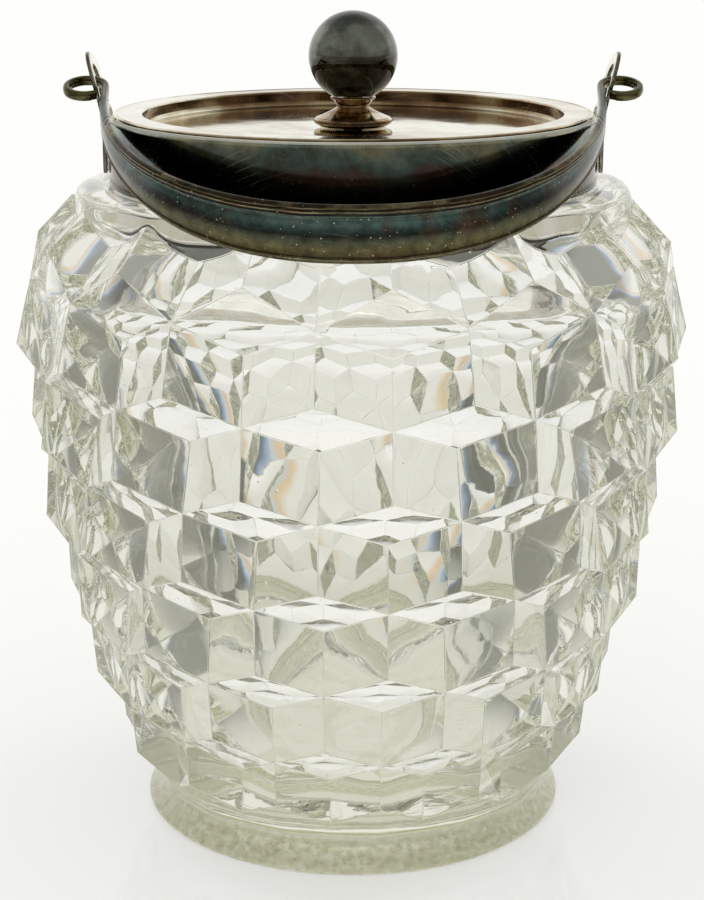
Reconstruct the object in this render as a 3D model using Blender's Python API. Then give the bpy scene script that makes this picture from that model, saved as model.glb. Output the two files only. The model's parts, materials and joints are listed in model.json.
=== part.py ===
"""A glass biscuit barrel with a silver-plated mount, lid and bail handle.

Metres, +Z up. The barrel stands on Z = 0 with its axis on Z. The handle lies
folded towards -Y, and its ears stand at -X and +X.
"""

import math

import bmesh
import bpy

# Fits that every piece shares
SEAT_GAP = 0.0003          # between pieces that touch
CORNER_CUT = 0.0003        # small edge breaks

# Glass jar: foot
FOOT_RADIUS = 0.0493
FOOT_RIM_HEIGHT = 0.0026
FOOT_EDGE = 0.0008         # rounding at the top and bottom of the foot's rim
WAIST_RADIUS = 0.0452
WAIST_HEIGHT = 0.0082
HOLLOW_RADIUS_SHARE = 0.25 # the hollow between waist and rim, as shares of the step between them
HOLLOW_HEIGHT_SHARE = 0.4
STANDING_RING_WIDTH = 0.0100
UNDERSIDE_RISE = 0.0022

# Glass jar: bands of cubes
CUBES_AROUND = 15
PATTERN_TURN = math.radians(-5.8)   # how far the mount was set off the pattern
BELLY_RADIUS = 0.0729      # to the corners of the widest band
PATTERN_BASE = 0.0127      # height of the lowest corners
PATTERN_HEIGHT = 0.1314    # from there to the highest corners
PEAK_RISE = 0.0055         # a cube's peak above its corners
PIT_DROP = 0.0058          # the pit below them
TOP_PEAK_RISE = 0.0081     # the same rise in the tallest, top band
CUBE_RELIEF = 0.0050       # how far a full peak stands out and a full pit lies in

# From the highest band of corners to the lowest
CORNER_RADIUS_SHARES = (0.866, 0.999, 1.0, 0.964, 0.920, 0.853, 0.765, 0.678)
CORNER_HEIGHT_SHARES = (1.0, 0.875, 0.723, 0.569, 0.418, 0.266, 0.123, 0.0)
# Of the relief: peaks of bands 1 to 7, and pits of bands 0 to 6
PEAK_OUT_SHARES = (-0.32, 0.70, 0.82, 0.84, 0.90, 1.02, 1.04)
PIT_IN_SHARES = (0.06, 0.44, 1.20, 1.12, 1.20, 1.10, 1.32)

# Glass jar: shoulder, neck and inside
SHOULDER_RISE = 0.0034     # the crown of the shoulder above the highest corners
CROWN_SHARE = 0.75         # where the crown lies, from the collar out to the corners
MOAT_DEPTH = 0.0006        # the sunk ring in which the collar stands
MOAT_MARGIN = 0.0005
MOAT_SIDE_SHARE = 0.2      # of the moat's depth, left half way to the crown
CROWN_TURN_SHARES = (0.0, 0.25, 0.47, 0.65)   # of the quarter turn from the crown to the corners
NECK_BORE = 0.0480
NECK_WALL = 0.0036
BODY_WALL = 0.0035         # glass behind the deepest pits
SHOULDER_WALL = 0.0063     # glass behind the shoulder's scallops
INNER_SHOULDER_SHARE = 2 / 3   # how near the belly the inside has come half way down the shoulder
FLOOR_THICKNESS = 0.0120
FLOOR_CORNER_RADIUS_SHARE = 0.83
FLOOR_CORNER_HEIGHT_SHARE = 1.22

# Mount on the neck
PLASTER_THICKNESS = 0.0014
COLLAR_WALL = 0.0008
COLLAR_HEIGHT = 0.0144

# Ears
EAR_THICKNESS = 0.0010
EAR_HALF_WIDTH = 0.0080
EAR_DROP = 0.0123          # how far the plate reaches down the collar
EAR_CORNER = 0.0030
EAR_NECK_HALF_WIDTH = 0.0050
EAR_FLARE_SHARES = (0.28, 0.52, 0.66, 0.82, 1.0)   # of the hinge's rise, where the outline has points
EAR_LAYER_SHARES = (0.0, 0.35, 0.7, 1.0)           # from the hole out to the outline
EAR_LEAN = math.radians(14.0)
EAR_HEAD_RADIUS = 0.0065
EAR_HOLE_RADIUS = 0.0038
HINGE_RISE = 0.0076        # the hole's centre above the collar's rim

# Bail handle
STRAP_THICKNESS = 0.0017
STRAP_WIDTH = 0.0127
STRAP_END_WIDTH = 0.0022
STRAP_TAPER = 0.9          # 1 widens evenly with reach, less widens sooner
STRAP_EDGE = 0.0004
BAIL_REACH = 0.0733
BAIL_FULLNESS = 2.25       # 2 is an ellipse, more is squarer
CURL_RADIUS = 0.0043
CURL_SWEEP = math.radians(292.0)
CURL_CLEARANCE = 0.0005
BAIL_REST_CLEARANCE = 0.0003
STEEPEST_TILT = math.radians(60.0)
TILT_STEP = math.radians(0.1)

# Lid
LID_SHEET = 0.0008
LID_RIM_INSET = 0.0010     # the lid's rim lies this far inside the collar's outside
LID_PLAY = 0.0005
LID_LIFT_CLEARANCE = 0.0003
RECESS_DEPTH = 0.0036
RECESS_FILLET = 0.0009
SKIRT_HEIGHT = 0.0070
SKIRT_WALL = 0.0008

# Knob
BALL_RADIUS = 0.0099
KNOB_SEAT_RADIUS = 0.0050  # of the bead on which the ball sits
KNOB_NECK_RADIUS = 0.0036
KNOB_FOOT_RADIUS = 0.0088
KNOB_FOOT_HEIGHT = 0.0065
FOOT_SEAT_SHARE = 0.92     # of the foot's radius, where it stands on the lid
FOOT_RIM_SHARE = 0.155     # of the foot's height, up to its widest rim
FOOT_STEP_SHARE = 0.28     # and to the step above the rim
FOOT_SWEEP_SHARE = 0.385   # and the sweep from there up to the neck
FOOT_BEAD_SHARE = 0.90     # and to the underside of the bead
FOOT_SWEEP_CURVE = 1.5     # 1 is an ellipse, more is hollower
STUD_RADIUS = 0.0019
STUD_INTO_BALL = 0.0060
STUD_TAIL = 0.0012
WASHER_RADIUS = 0.0050
WASHER_THICKNESS = 0.0008
NUT_ACROSS_FLATS = 0.0070
NUT_THICKNESS = 0.0032

# Facets of the round pieces
EDGE_STEPS = 2             # between two corners of the pattern
CURL_STEPS = 20
ARCH_STEPS = 26
BALL_STEPS = 18
QUARTER_STEPS = 6
AROUND = 2 * CUBES_AROUND * EDGE_STEPS
METAL_AROUND = 64
KNOB_AROUND = 28
SMALL_AROUND = 18
GLASS_SHARP_ANGLE = math.radians(12.0)
METAL_SHARP_ANGLE = math.radians(25.0)

# Heights and radii that follow
PATTERN_TOP = PATTERN_BASE + PATTERN_HEIGHT
CROWN_HEIGHT = PATTERN_TOP + SHOULDER_RISE
MOAT_HEIGHT = CROWN_HEIGHT - MOAT_DEPTH
COLLAR_BOTTOM = MOAT_HEIGHT + SEAT_GAP
COLLAR_TOP = COLLAR_BOTTOM + COLLAR_HEIGHT
LIP_UNDERSIDE = COLLAR_TOP - COLLAR_WALL
NECK_TOP = LIP_UNDERSIDE - SEAT_GAP
NECK_OUTER = NECK_BORE + NECK_WALL
PLASTER_INNER = NECK_OUTER + SEAT_GAP
PLASTER_OUTER = PLASTER_INNER + PLASTER_THICKNESS
COLLAR_INNER = PLASTER_OUTER + SEAT_GAP
COLLAR_OUTER = COLLAR_INNER + COLLAR_WALL

LID_UNDERSIDE = COLLAR_TOP + SEAT_GAP
LID_TOP = LID_UNDERSIDE + LID_SHEET
LID_FLOOR = LID_TOP - RECESS_DEPTH
LID_FLOOR_UNDERSIDE = LID_FLOOR - LID_SHEET
LID_RIM_RADIUS = COLLAR_OUTER - LID_RIM_INSET
PAN_OUTER = NECK_BORE - LID_PLAY
PAN_INNER = PAN_OUTER - LID_SHEET

HINGE_HEIGHT = COLLAR_TOP + HINGE_RISE
EAR_INNER = COLLAR_OUTER + SEAT_GAP
EAR_MIDDLE = EAR_INNER + EAR_THICKNESS / 2
EAR_MIDDLE_AT_HINGE = EAR_MIDDLE + HINGE_RISE * math.tan(EAR_LEAN)

BAIL_SIDE = LID_RIM_RADIUS + LID_LIFT_CLEARANCE + STRAP_THICKNESS / 2
CURL_MIDDLE_X = BAIL_SIDE + CURL_RADIUS
CURL_HALF_CHORD = math.sqrt(CURL_RADIUS ** 2 - (CURL_MIDDLE_X - EAR_MIDDLE_AT_HINGE) ** 2)
CURL_MIDDLE_REACH = EAR_HEAD_RADIUS + CURL_CLEARANCE + STRAP_THICKNESS / 2 - CURL_HALF_CHORD

CUBE_STEP = math.pi / CUBES_AROUND


def make_object(name, mesh_builder, material, sharp_angle=METAL_SHARP_ANGLE):
    """One named solid from a bmesh, shaded smooth where its faces meet gently."""
    mesh = bpy.data.meshes.new(name)
    bmesh.ops.recalc_face_normals(mesh_builder, faces=mesh_builder.faces)
    mesh_builder.to_mesh(mesh)
    mesh_builder.free()
    mesh.shade_smooth()
    mesh.set_sharp_from_angle(angle=sharp_angle)
    mesh.materials.append(material)
    solid = bpy.data.objects.new(name, mesh)
    bpy.context.scene.collection.objects.link(solid)
    return solid


def make_material(name, colour, roughness, metallic, transmission=0.0):
    """A Principled material of one colour."""
    material = bpy.data.materials.new(name)
    material.use_nodes = True
    shader = material.node_tree.nodes["Principled BSDF"]
    shader.inputs["Base Color"].default_value = (*colour, 1.0)
    shader.inputs["Roughness"].default_value = roughness
    shader.inputs["Metallic"].default_value = metallic
    shader.inputs["Transmission Weight"].default_value = transmission
    material.diffuse_color = (*colour, 1.0)
    return material


def around_axis(radius, angle, height):
    """A point at a radius and height, its angle counted from the front, -Y, towards +X."""
    return (radius * math.sin(angle), -radius * math.cos(angle), height)


def ring(builder, radius, height, steps, turn=0.0):
    """A ring of vertices, or one vertex where the radius is zero."""
    if radius == 0:
        return [builder.verts.new((0, 0, height))]
    angles = [turn + math.tau * i / steps for i in range(steps)]
    return [builder.verts.new(around_axis(radius, angle, height)) for angle in angles]


def bridge(builder, upper, lower):
    """Faces between two rings, either of which may be a single vertex."""
    steps = max(len(upper), len(lower))
    for i in range(steps):
        j = (i + 1) % steps
        if len(upper) == 1:
            builder.faces.new((upper[0], lower[j], lower[i]))
        elif len(lower) == 1:
            builder.faces.new((upper[i], upper[j], lower[0]))
        else:
            builder.faces.new((upper[i], upper[j], lower[j], lower[i]))


def turned(name, profile, steps, material):
    """A solid turned from (radius, height) points: closed, or ending twice on the axis."""
    builder = bmesh.new()
    rings = [ring(builder, radius, height, steps) for radius, height in profile]
    for upper, lower in zip(rings, rings[1:]):
        bridge(builder, upper, lower)
    if len(rings[0]) > 1:
        bridge(builder, rings[-1], rings[0])
    return make_object(name, builder, material)


def smooth_curve(points, steps):
    """Points along a Catmull-Rom curve through the given ones, its ends included."""
    curve = [points[0]]
    padded = [points[0], *points, points[-1]]
    for before, start, end, after in zip(padded, padded[1:], padded[2:], padded[3:]):
        for step in range(1, steps + 1):
            t = step / steps
            weights = (
                (-t + 2 * t ** 2 - t ** 3) / 2,
                (2 - 5 * t ** 2 + 3 * t ** 3) / 2,
                (t + 4 * t ** 2 - 3 * t ** 3) / 2,
                (t ** 3 - t ** 2) / 2,
            )
            corners = (before, start, end, after)
            curve.append(tuple(sum(w * p[axis] for w, p in zip(weights, corners)) for axis in (0, 1)))
    return curve


# Places of the pattern's vertices, as (radius, height), from the top band to the bottom

CORNERS = [
    (BELLY_RADIUS * radius_share, PATTERN_BASE + PATTERN_HEIGHT * height_share)
    for radius_share, height_share in zip(CORNER_RADIUS_SHARES, CORNER_HEIGHT_SHARES)
]
PEAKS = [
    (radius + CUBE_RELIEF * share, height + (TOP_PEAK_RISE if band == 0 else PEAK_RISE))
    for band, ((radius, height), share) in enumerate(zip(CORNERS[1:], PEAK_OUT_SHARES))
]
PITS = [
    (radius - CUBE_RELIEF * share, height - PIT_DROP)
    for (radius, height), share in zip(CORNERS, PIT_IN_SHARES)
]


def zigzag(builder, even, odd):
    """A ring of straight edges that runs between two circles of corners and back."""
    corners = []
    for step in range(2 * CUBES_AROUND):
        radius, height = odd if step % 2 else even
        corners.append(around_axis(radius, PATTERN_TURN + CUBE_STEP * step, height))
    vertices = []
    for start, end in zip(corners, corners[1:] + corners[:1]):
        for step in range(EDGE_STEPS):
            share = step / EDGE_STEPS
            vertices.append(builder.verts.new(tuple(a + (b - a) * share for a, b in zip(start, end))))
    return vertices


def corner_ring(builder, place, odd):
    """Every second corner around the jar, as a dictionary from its step."""
    radius, height = place
    steps = range(1 if odd else 0, 2 * CUBES_AROUND, 2)
    return {
        step: builder.verts.new(around_axis(radius, PATTERN_TURN + CUBE_STEP * step, height))
        for step in steps
    }


def edge_of(zigzag_ring, start, end):
    """The vertices of one edge of a zigzag, from one corner's step to the next one's."""
    toward = 1 if end > start else -1
    count = len(zigzag_ring)
    return [zigzag_ring[(start * EDGE_STEPS + toward * i) % count] for i in range(EDGE_STEPS + 1)]


def cube_bands(builder, top_edge, bottom_edge):
    """The cubes' faces: two side faces below each corner, and the rhombus between them."""
    bands = len(CORNERS) - 1
    whole = 2 * CUBES_AROUND
    corner = [corner_ring(builder, place, band % 2 == 0) for band, place in enumerate(CORNERS[1:bands], 1)]
    peak = [corner_ring(builder, place, band % 2 == 1) for band, place in enumerate(PEAKS[:-1], 1)]
    pit = [corner_ring(builder, place, band % 2 == 1) for band, place in enumerate(PITS[1:], 1)]
    for band in range(bands):
        for step in range(1 - band % 2, whole, 2):
            for side in (1, -1):
                beside = step + side
                if band == 0:
                    upper = edge_of(top_edge, step, beside)
                else:
                    upper = [corner[band - 1][step], pit[band - 1][beside % whole]]
                if band == bands - 1:
                    lower = edge_of(bottom_edge, step, beside)
                else:
                    lower = [peak[band][step], corner[band][beside % whole]]
                for left, right in zip(upper, upper[1:]):
                    builder.faces.new((left, right, lower[0]))
                for left, right in zip(lower, lower[1:]):
                    builder.faces.new((upper[-1], left, right))
    for band in range(1, bands):
        for step, tip in peak[band - 1].items():
            right = corner[band - 1][(step + 1) % whole]
            left = corner[band - 1][(step - 1) % whole]
            low = pit[band - 1][step]
            builder.faces.new((tip, right, low))
            builder.faces.new((tip, low, left))


def jar_inner_profile():
    """The smooth inside of the jar, from the neck's top down to the middle of the floor."""
    pit_walls = [(radius - BODY_WALL, height) for radius, height in PITS[1:]]
    widest_radius, widest_height = pit_walls[0]
    shoulder_height = PITS[0][1]
    shoulder_radius = PITS[0][0] - SHOULDER_WALL
    half_way_radius = shoulder_radius + (widest_radius - shoulder_radius) * INNER_SHOULDER_SHARE
    last_radius = pit_walls[-1][0]
    through = [
        (NECK_BORE, MOAT_HEIGHT - BODY_WALL / 2),
        (shoulder_radius, shoulder_height),
        (half_way_radius, (shoulder_height + widest_height) / 2),
        *pit_walls,
        (last_radius * FLOOR_CORNER_RADIUS_SHARE, FLOOR_THICKNESS * FLOOR_CORNER_HEIGHT_SHARE),
        (last_radius / 2, FLOOR_THICKNESS),
    ]
    return [(NECK_BORE, NECK_TOP), *smooth_curve(through, 2), (0, FLOOR_THICKNESS)]


def jar_shoulder_profile():
    """From the neck's top, down its outside, over the moat and the crown of the shoulder."""
    moat_outer = COLLAR_OUTER + MOAT_MARGIN
    corner_radius, corner_height = CORNERS[0]
    crown_radius = moat_outer + (corner_radius - moat_outer) * (1 - CROWN_SHARE)
    fall = corner_radius - crown_radius
    crown = [
        (crown_radius + fall * math.sin(angle), corner_height + SHOULDER_RISE * math.cos(angle))
        for angle in (math.pi / 2 * share for share in CROWN_TURN_SHARES)
    ]
    return [
        (NECK_OUTER, NECK_TOP),
        (NECK_OUTER, MOAT_HEIGHT),
        (moat_outer, MOAT_HEIGHT),
        ((moat_outer + crown_radius) / 2, CROWN_HEIGHT - MOAT_DEPTH * MOAT_SIDE_SHARE),
        *crown,
    ]


def jar_foot_profile():
    """From the waist under the lowest cubes, over the foot and in under it to the axis."""
    rim_top = FOOT_RIM_HEIGHT
    ring_inner = FOOT_RADIUS - STANDING_RING_WIDTH
    hollow_radius = WAIST_RADIUS + (FOOT_RADIUS - WAIST_RADIUS) * HOLLOW_RADIUS_SHARE
    hollow_height = rim_top + (WAIST_HEIGHT - rim_top) * HOLLOW_HEIGHT_SHARE
    return [
        (WAIST_RADIUS, WAIST_HEIGHT),
        (hollow_radius, hollow_height),
        (FOOT_RADIUS - FOOT_EDGE, rim_top),
        (FOOT_RADIUS, rim_top - FOOT_EDGE),
        (FOOT_RADIUS, FOOT_EDGE),
        (FOOT_RADIUS - FOOT_EDGE, 0),
        (ring_inner, 0),
        (ring_inner - UNDERSIDE_RISE, UNDERSIDE_RISE),
        (0, UNDERSIDE_RISE),
    ]


def make_jar(material):
    """The jar: cubes outside, smooth inside, open at the neck."""
    builder = bmesh.new()
    top_edge = zigzag(builder, PITS[0], CORNERS[0])
    bottom_edge = zigzag(builder, CORNERS[-1], PEAKS[-1])
    cube_bands(builder, top_edge, bottom_edge)
    outside = [ring(builder, r, z, AROUND, PATTERN_TURN) for r, z in jar_shoulder_profile()]
    for upper, lower in zip(outside, outside[1:] + [top_edge]):
        bridge(builder, upper, lower)
    below = [ring(builder, r, z, AROUND, PATTERN_TURN) for r, z in jar_foot_profile()]
    for upper, lower in zip([bottom_edge] + below, below):
        bridge(builder, upper, lower)
    inside = [ring(builder, r, z, AROUND, PATTERN_TURN) for r, z in jar_inner_profile()]
    for upper, lower in zip([outside[0]] + inside, inside):
        bridge(builder, upper, lower)
    return make_object("glass_jar", builder, material, GLASS_SHARP_ANGLE)


def make_mount(silver, plaster):
    """The collar with its turned-in lip, and the plaster that holds it on the neck."""
    turned("plaster_bed", [
        (PLASTER_INNER, NECK_TOP),
        (PLASTER_OUTER, NECK_TOP),
        (PLASTER_OUTER, COLLAR_BOTTOM),
        (PLASTER_INNER, COLLAR_BOTTOM),
    ], METAL_AROUND, plaster)
    turned("collar", [
        (NECK_BORE, COLLAR_TOP),
        (COLLAR_OUTER - CORNER_CUT, COLLAR_TOP),
        (COLLAR_OUTER, COLLAR_TOP - CORNER_CUT),
        (COLLAR_OUTER, COLLAR_BOTTOM + CORNER_CUT),
        (COLLAR_OUTER - CORNER_CUT, COLLAR_BOTTOM),
        (COLLAR_INNER, COLLAR_BOTTOM),
        (COLLAR_INNER, LIP_UNDERSIDE),
        (NECK_BORE, LIP_UNDERSIDE),
    ], METAL_AROUND, silver)


def ear_half_width(drop):
    """Half the ear's width at a distance below the hole's centre."""
    head_share = min(max(drop / EAR_HEAD_RADIUS, -1.0), 1.0)
    head = EAR_HEAD_RADIUS * math.sqrt(1 - head_share ** 2)
    if drop <= 0:
        return head
    spread = min(max((drop - HINGE_RISE / 2) / (HINGE_RISE / 2), 0.0), 1.0)
    eased = spread * spread * (3 - 2 * spread)
    stem = EAR_NECK_HALF_WIDTH + (EAR_HALF_WIDTH - EAR_NECK_HALF_WIDTH) * eased
    to_bottom = HINGE_RISE + EAR_DROP - drop
    if to_bottom < EAR_CORNER:
        rounding = EAR_CORNER - math.sqrt(max(EAR_CORNER ** 2 - (EAR_CORNER - to_bottom) ** 2, 0.0))
        stem -= rounding
    return max(head, stem)


def ear_outline():
    """Half of the ear's outline from its top to its bottom, as (width, drop) points."""
    head = [
        (EAR_HEAD_RADIUS * math.sin(angle), -EAR_HEAD_RADIUS * math.cos(angle))
        for angle in (math.pi / 2 * i / QUARTER_STEPS for i in range(QUARTER_STEPS + 1))
    ]
    bottom = HINGE_RISE + EAR_DROP
    flare = [HINGE_RISE * share for share in EAR_FLARE_SHARES]
    steps = QUARTER_STEPS // 2
    corner = [bottom - EAR_CORNER * (1 - math.sin(math.pi / 2 * i / steps)) for i in range(steps + 1)]
    below = [(ear_half_width(drop), drop) for drop in flare + corner]
    return head + below + [(0, bottom)]


def make_ear(name, side, material):
    """One ear: a plate round the collar's side, leaning out above its rim, with a round hole."""
    half = ear_outline()
    mirrored = [(-width, drop) for width, drop in reversed(half[1:-1])]
    outline = half + mirrored
    builder = bmesh.new()

    def place(across, drop, out):
        height = HINGE_HEIGHT - drop
        lean = max(height - COLLAR_TOP, 0) * math.tan(EAR_LEAN)
        radius = EAR_INNER + out + lean
        angle = across / EAR_MIDDLE
        return (side * radius * math.cos(angle), radius * math.sin(angle), height)

    def grid(out):
        rows = []
        for share in EAR_LAYER_SHARES:
            row = []
            for width, drop in outline:
                distance = math.hypot(width, drop)
                reach = EAR_HOLE_RADIUS + (distance - EAR_HOLE_RADIUS) * share
                row.append(builder.verts.new(place(width * reach / distance, drop * reach / distance, out)))
            rows.append(row)
        return rows

    inner = grid(0)
    outer = grid(EAR_THICKNESS)
    for near, far in zip(inner, inner[1:]):
        bridge(builder, near, far)
    for near, far in zip(outer, outer[1:]):
        bridge(builder, near, far)
    bridge(builder, inner[0], outer[0])
    bridge(builder, inner[-1], outer[-1])
    return make_object(name, builder, material)


def bail_line():
    """The handle's middle line and width in its own plane, as (x, reach, width), from curl to curl."""
    end_share = (CURL_MIDDLE_REACH / BAIL_REACH) ** (BAIL_FULLNESS / 2)
    start = math.asin(end_share)
    half = []
    for i in range(CURL_STEPS + 1):
        angle = CURL_SWEEP * (1 - i / CURL_STEPS)
        x = CURL_MIDDLE_X - CURL_RADIUS * math.cos(angle)
        half.append((x, CURL_MIDDLE_REACH - CURL_RADIUS * math.sin(angle), STRAP_END_WIDTH))
    straight = half[-1][0]
    for i in range(1, ARCH_STEPS + 1):
        angle = start + (math.pi / 2 - start) * i / ARCH_STEPS
        x = straight * math.cos(angle) ** (2 / BAIL_FULLNESS) / math.cos(start) ** (2 / BAIL_FULLNESS)
        reach = BAIL_REACH * math.sin(angle) ** (2 / BAIL_FULLNESS)
        share = (reach - CURL_MIDDLE_REACH) / (BAIL_REACH - CURL_MIDDLE_REACH)
        half.append((x, reach, STRAP_END_WIDTH + (STRAP_WIDTH - STRAP_END_WIDTH) * share ** STRAP_TAPER))
    half[-1] = (0.0, BAIL_REACH, STRAP_WIDTH)
    return half + [(-x, reach, width) for x, reach, width in reversed(half[:-1])]


def shoulder_height_at(radius):
    """The highest glass at a distance from the axis, from the collar outwards."""
    crown = jar_shoulder_profile()[-len(CROWN_TURN_SHARES):]
    slope = [(COLLAR_OUTER, CROWN_HEIGHT), *crown, CORNERS[0], PEAKS[0], CORNERS[1], PEAKS[1]]
    for (near, high), (far, low) in zip(slope, slope[1:]):
        if radius <= far:
            share = max(radius - near, 0) / (far - near)
            return high + (low - high) * share
    return 0.0


def bail_rest_tilt():
    """How far the handle drops below level before it comes down on the shoulder."""
    line = bail_line()
    tilt = STEEPEST_TILT
    while tilt > 0:
        clearances = []
        for x, reach, width in line:
            for inward in (0, STRAP_THICKNESS / 2):
                forward = (reach - inward) * math.cos(tilt) - width / 2 * math.sin(tilt)
                low = HINGE_HEIGHT - (reach - inward) * math.sin(tilt) - width / 2 * math.cos(tilt)
                if reach > 2 * EAR_HALF_WIDTH:
                    clearances.append(low - shoulder_height_at(math.hypot(x, forward)))
        if min(clearances) > BAIL_REST_CLEARANCE:
            return tilt
        tilt -= TILT_STEP
    return 0.0


def make_bail(material):
    """The handle: a strap swept along its line, about the hinge axis through the ears' holes."""
    tilt = bail_rest_tilt()
    line = bail_line()
    builder = bmesh.new()
    sections = []
    for i, (x, reach, width) in enumerate(line):
        x_before, reach_before, _ = line[max(i - 1, 0)]
        x_after, reach_after, _ = line[min(i + 1, len(line) - 1)]
        along_x = x_after - x_before
        along_reach = reach_after - reach_before
        length = math.hypot(along_x, along_reach)
        side_x = along_reach / length
        side_reach = -along_x / length
        half_width = width / 2
        half_thick = STRAP_THICKNESS / 2
        corners = (
            (half_thick, half_width - STRAP_EDGE),
            (half_thick - STRAP_EDGE, half_width),
            (STRAP_EDGE - half_thick, half_width),
            (-half_thick, half_width - STRAP_EDGE),
            (-half_thick, STRAP_EDGE - half_width),
            (STRAP_EDGE - half_thick, -half_width),
            (half_thick - STRAP_EDGE, -half_width),
            (half_thick, STRAP_EDGE - half_width),
        )
        section = []
        for out, up in corners:
            section.append(builder.verts.new((x + side_x * out, -(reach + side_reach * out), up)))
        sections.append(section)
    for before, after in zip(sections, sections[1:]):
        bridge(builder, before, after)
    builder.faces.new(sections[0])
    builder.faces.new(sections[-1])
    bail = make_object("bail_handle", builder, material)
    bail.location = (0, 0, HINGE_HEIGHT)
    bail.rotation_euler = (tilt, 0, 0)
    print(f"handle rests {math.degrees(tilt):.1f} degrees below level")
    return bail


def make_lid(silver, brass):
    """The pressed cover, its skirt, and the knob with the stud, washer and nut that hold it."""
    hole = STUD_RADIUS + SEAT_GAP
    turned("lid_cover", [
        (hole, LID_FLOOR),
        (PAN_INNER - RECESS_FILLET, LID_FLOOR),
        (PAN_INNER, LID_FLOOR + RECESS_FILLET),
        (PAN_INNER, LID_TOP),
        (LID_RIM_RADIUS - CORNER_CUT, LID_TOP),
        (LID_RIM_RADIUS, LID_TOP - CORNER_CUT),
        (LID_RIM_RADIUS, LID_UNDERSIDE),
        (PAN_OUTER, LID_UNDERSIDE),
        (PAN_OUTER, LID_FLOOR),
        (PAN_OUTER - RECESS_FILLET, LID_FLOOR_UNDERSIDE),
        (hole, LID_FLOOR_UNDERSIDE),
    ], METAL_AROUND, silver)

    skirt_outer = PAN_OUTER - RECESS_FILLET
    skirt_top = LID_FLOOR_UNDERSIDE - SEAT_GAP
    turned("lid_skirt", [
        (skirt_outer - SKIRT_WALL, skirt_top),
        (skirt_outer, skirt_top),
        (skirt_outer, skirt_top - SKIRT_HEIGHT),
        (skirt_outer - SKIRT_WALL, skirt_top - SKIRT_HEIGHT),
    ], METAL_AROUND, silver)

    foot_bottom = LID_FLOOR + SEAT_GAP
    foot_top = foot_bottom + KNOB_FOOT_HEIGHT
    flare = KNOB_FOOT_RADIUS - KNOB_NECK_RADIUS
    rise = [
        (
            KNOB_NECK_RADIUS + flare * (1 - math.sin(angle)) ** FOOT_SWEEP_CURVE,
            foot_bottom + KNOB_FOOT_HEIGHT * (FOOT_STEP_SHARE + FOOT_SWEEP_SHARE * math.sin(angle)),
        )
        for angle in (math.pi / 2 * i / QUARTER_STEPS for i in range(QUARTER_STEPS + 1))
    ]
    turned("knob_foot", [
        (hole, foot_top),
        (KNOB_SEAT_RADIUS - CORNER_CUT, foot_top),
        (KNOB_SEAT_RADIUS, foot_top - CORNER_CUT),
        (KNOB_SEAT_RADIUS, foot_bottom + KNOB_FOOT_HEIGHT * FOOT_BEAD_SHARE),
        *reversed(rise),
        (KNOB_FOOT_RADIUS, foot_bottom + KNOB_FOOT_HEIGHT * FOOT_RIM_SHARE),
        (KNOB_FOOT_RADIUS * FOOT_SEAT_SHARE, foot_bottom),
        (hole, foot_bottom),
    ], KNOB_AROUND, silver)

    ball_bottom = foot_top + SEAT_GAP
    flat_angle = math.asin(KNOB_SEAT_RADIUS / BALL_RADIUS)
    ball_middle = ball_bottom + BALL_RADIUS * math.cos(flat_angle)
    ball = [
        (BALL_RADIUS * math.sin(angle), ball_middle + BALL_RADIUS * math.cos(angle))
        for angle in ((math.pi - flat_angle) * i / BALL_STEPS for i in range(1, BALL_STEPS + 1))
    ]
    bore_top = ball_bottom + STUD_INTO_BALL + SEAT_GAP
    turned("knob_ball", [
        (0, ball_middle + BALL_RADIUS),
        *ball,
        (hole, ball_bottom),
        (hole, bore_top),
        (0, bore_top),
    ], KNOB_AROUND, silver)

    washer_top = LID_FLOOR_UNDERSIDE - SEAT_GAP
    washer_bottom = washer_top - WASHER_THICKNESS
    turned("knob_washer", [
        (hole, washer_top),
        (WASHER_RADIUS, washer_top),
        (WASHER_RADIUS, washer_bottom),
        (hole, washer_bottom),
    ], SMALL_AROUND, brass)

    nut_top = washer_bottom - SEAT_GAP
    nut_bottom = nut_top - NUT_THICKNESS
    make_nut(hole, nut_top, nut_bottom, brass)

    turned("knob_stud", [
        (0, ball_bottom + STUD_INTO_BALL),
        (STUD_RADIUS, ball_bottom + STUD_INTO_BALL),
        (STUD_RADIUS, nut_bottom - STUD_TAIL + CORNER_CUT),
        (STUD_RADIUS - CORNER_CUT, nut_bottom - STUD_TAIL),
        (0, nut_bottom - STUD_TAIL),
    ], SMALL_AROUND, brass)


def make_nut(hole, top, bottom, material):
    """A hexagon nut, its outside a ring whose radius follows the six flats."""
    builder = bmesh.new()
    flat = math.pi / 3

    def hexagon(height):
        vertices = []
        for i in range(SMALL_AROUND):
            angle = math.tau * i / SMALL_AROUND
            from_middle = (angle + flat / 2) % flat - flat / 2
            radius = NUT_ACROSS_FLATS / 2 / math.cos(from_middle)
            vertices.append(builder.verts.new(around_axis(radius, angle, height)))
        return vertices

    rings = [
        ring(builder, hole, top, SMALL_AROUND),
        hexagon(top),
        hexagon(bottom),
        ring(builder, hole, bottom, SMALL_AROUND),
    ]
    for upper, lower in zip(rings, rings[1:] + rings[:1]):
        bridge(builder, upper, lower)
    return make_object("knob_nut", builder, material)


def main():
    for old in list(bpy.data.objects):
        bpy.data.objects.remove(old, do_unlink=True)
    glass = make_material("clear glass", (0.93, 0.95, 0.92), 0.02, 0.0, transmission=1.0)
    silver = make_material("tarnished silver plate", (0.36, 0.35, 0.33), 0.16, 1.0)
    plaster = make_material("plaster", (0.82, 0.80, 0.74), 0.9, 0.0)
    brass = make_material("brass", (0.70, 0.53, 0.27), 0.35, 1.0)
    make_jar(glass)
    make_mount(silver, plaster)
    make_ear("left_ear", -1, silver)
    make_ear("right_ear", 1, silver)
    make_bail(silver)
    make_lid(silver, brass)


main()
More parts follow.
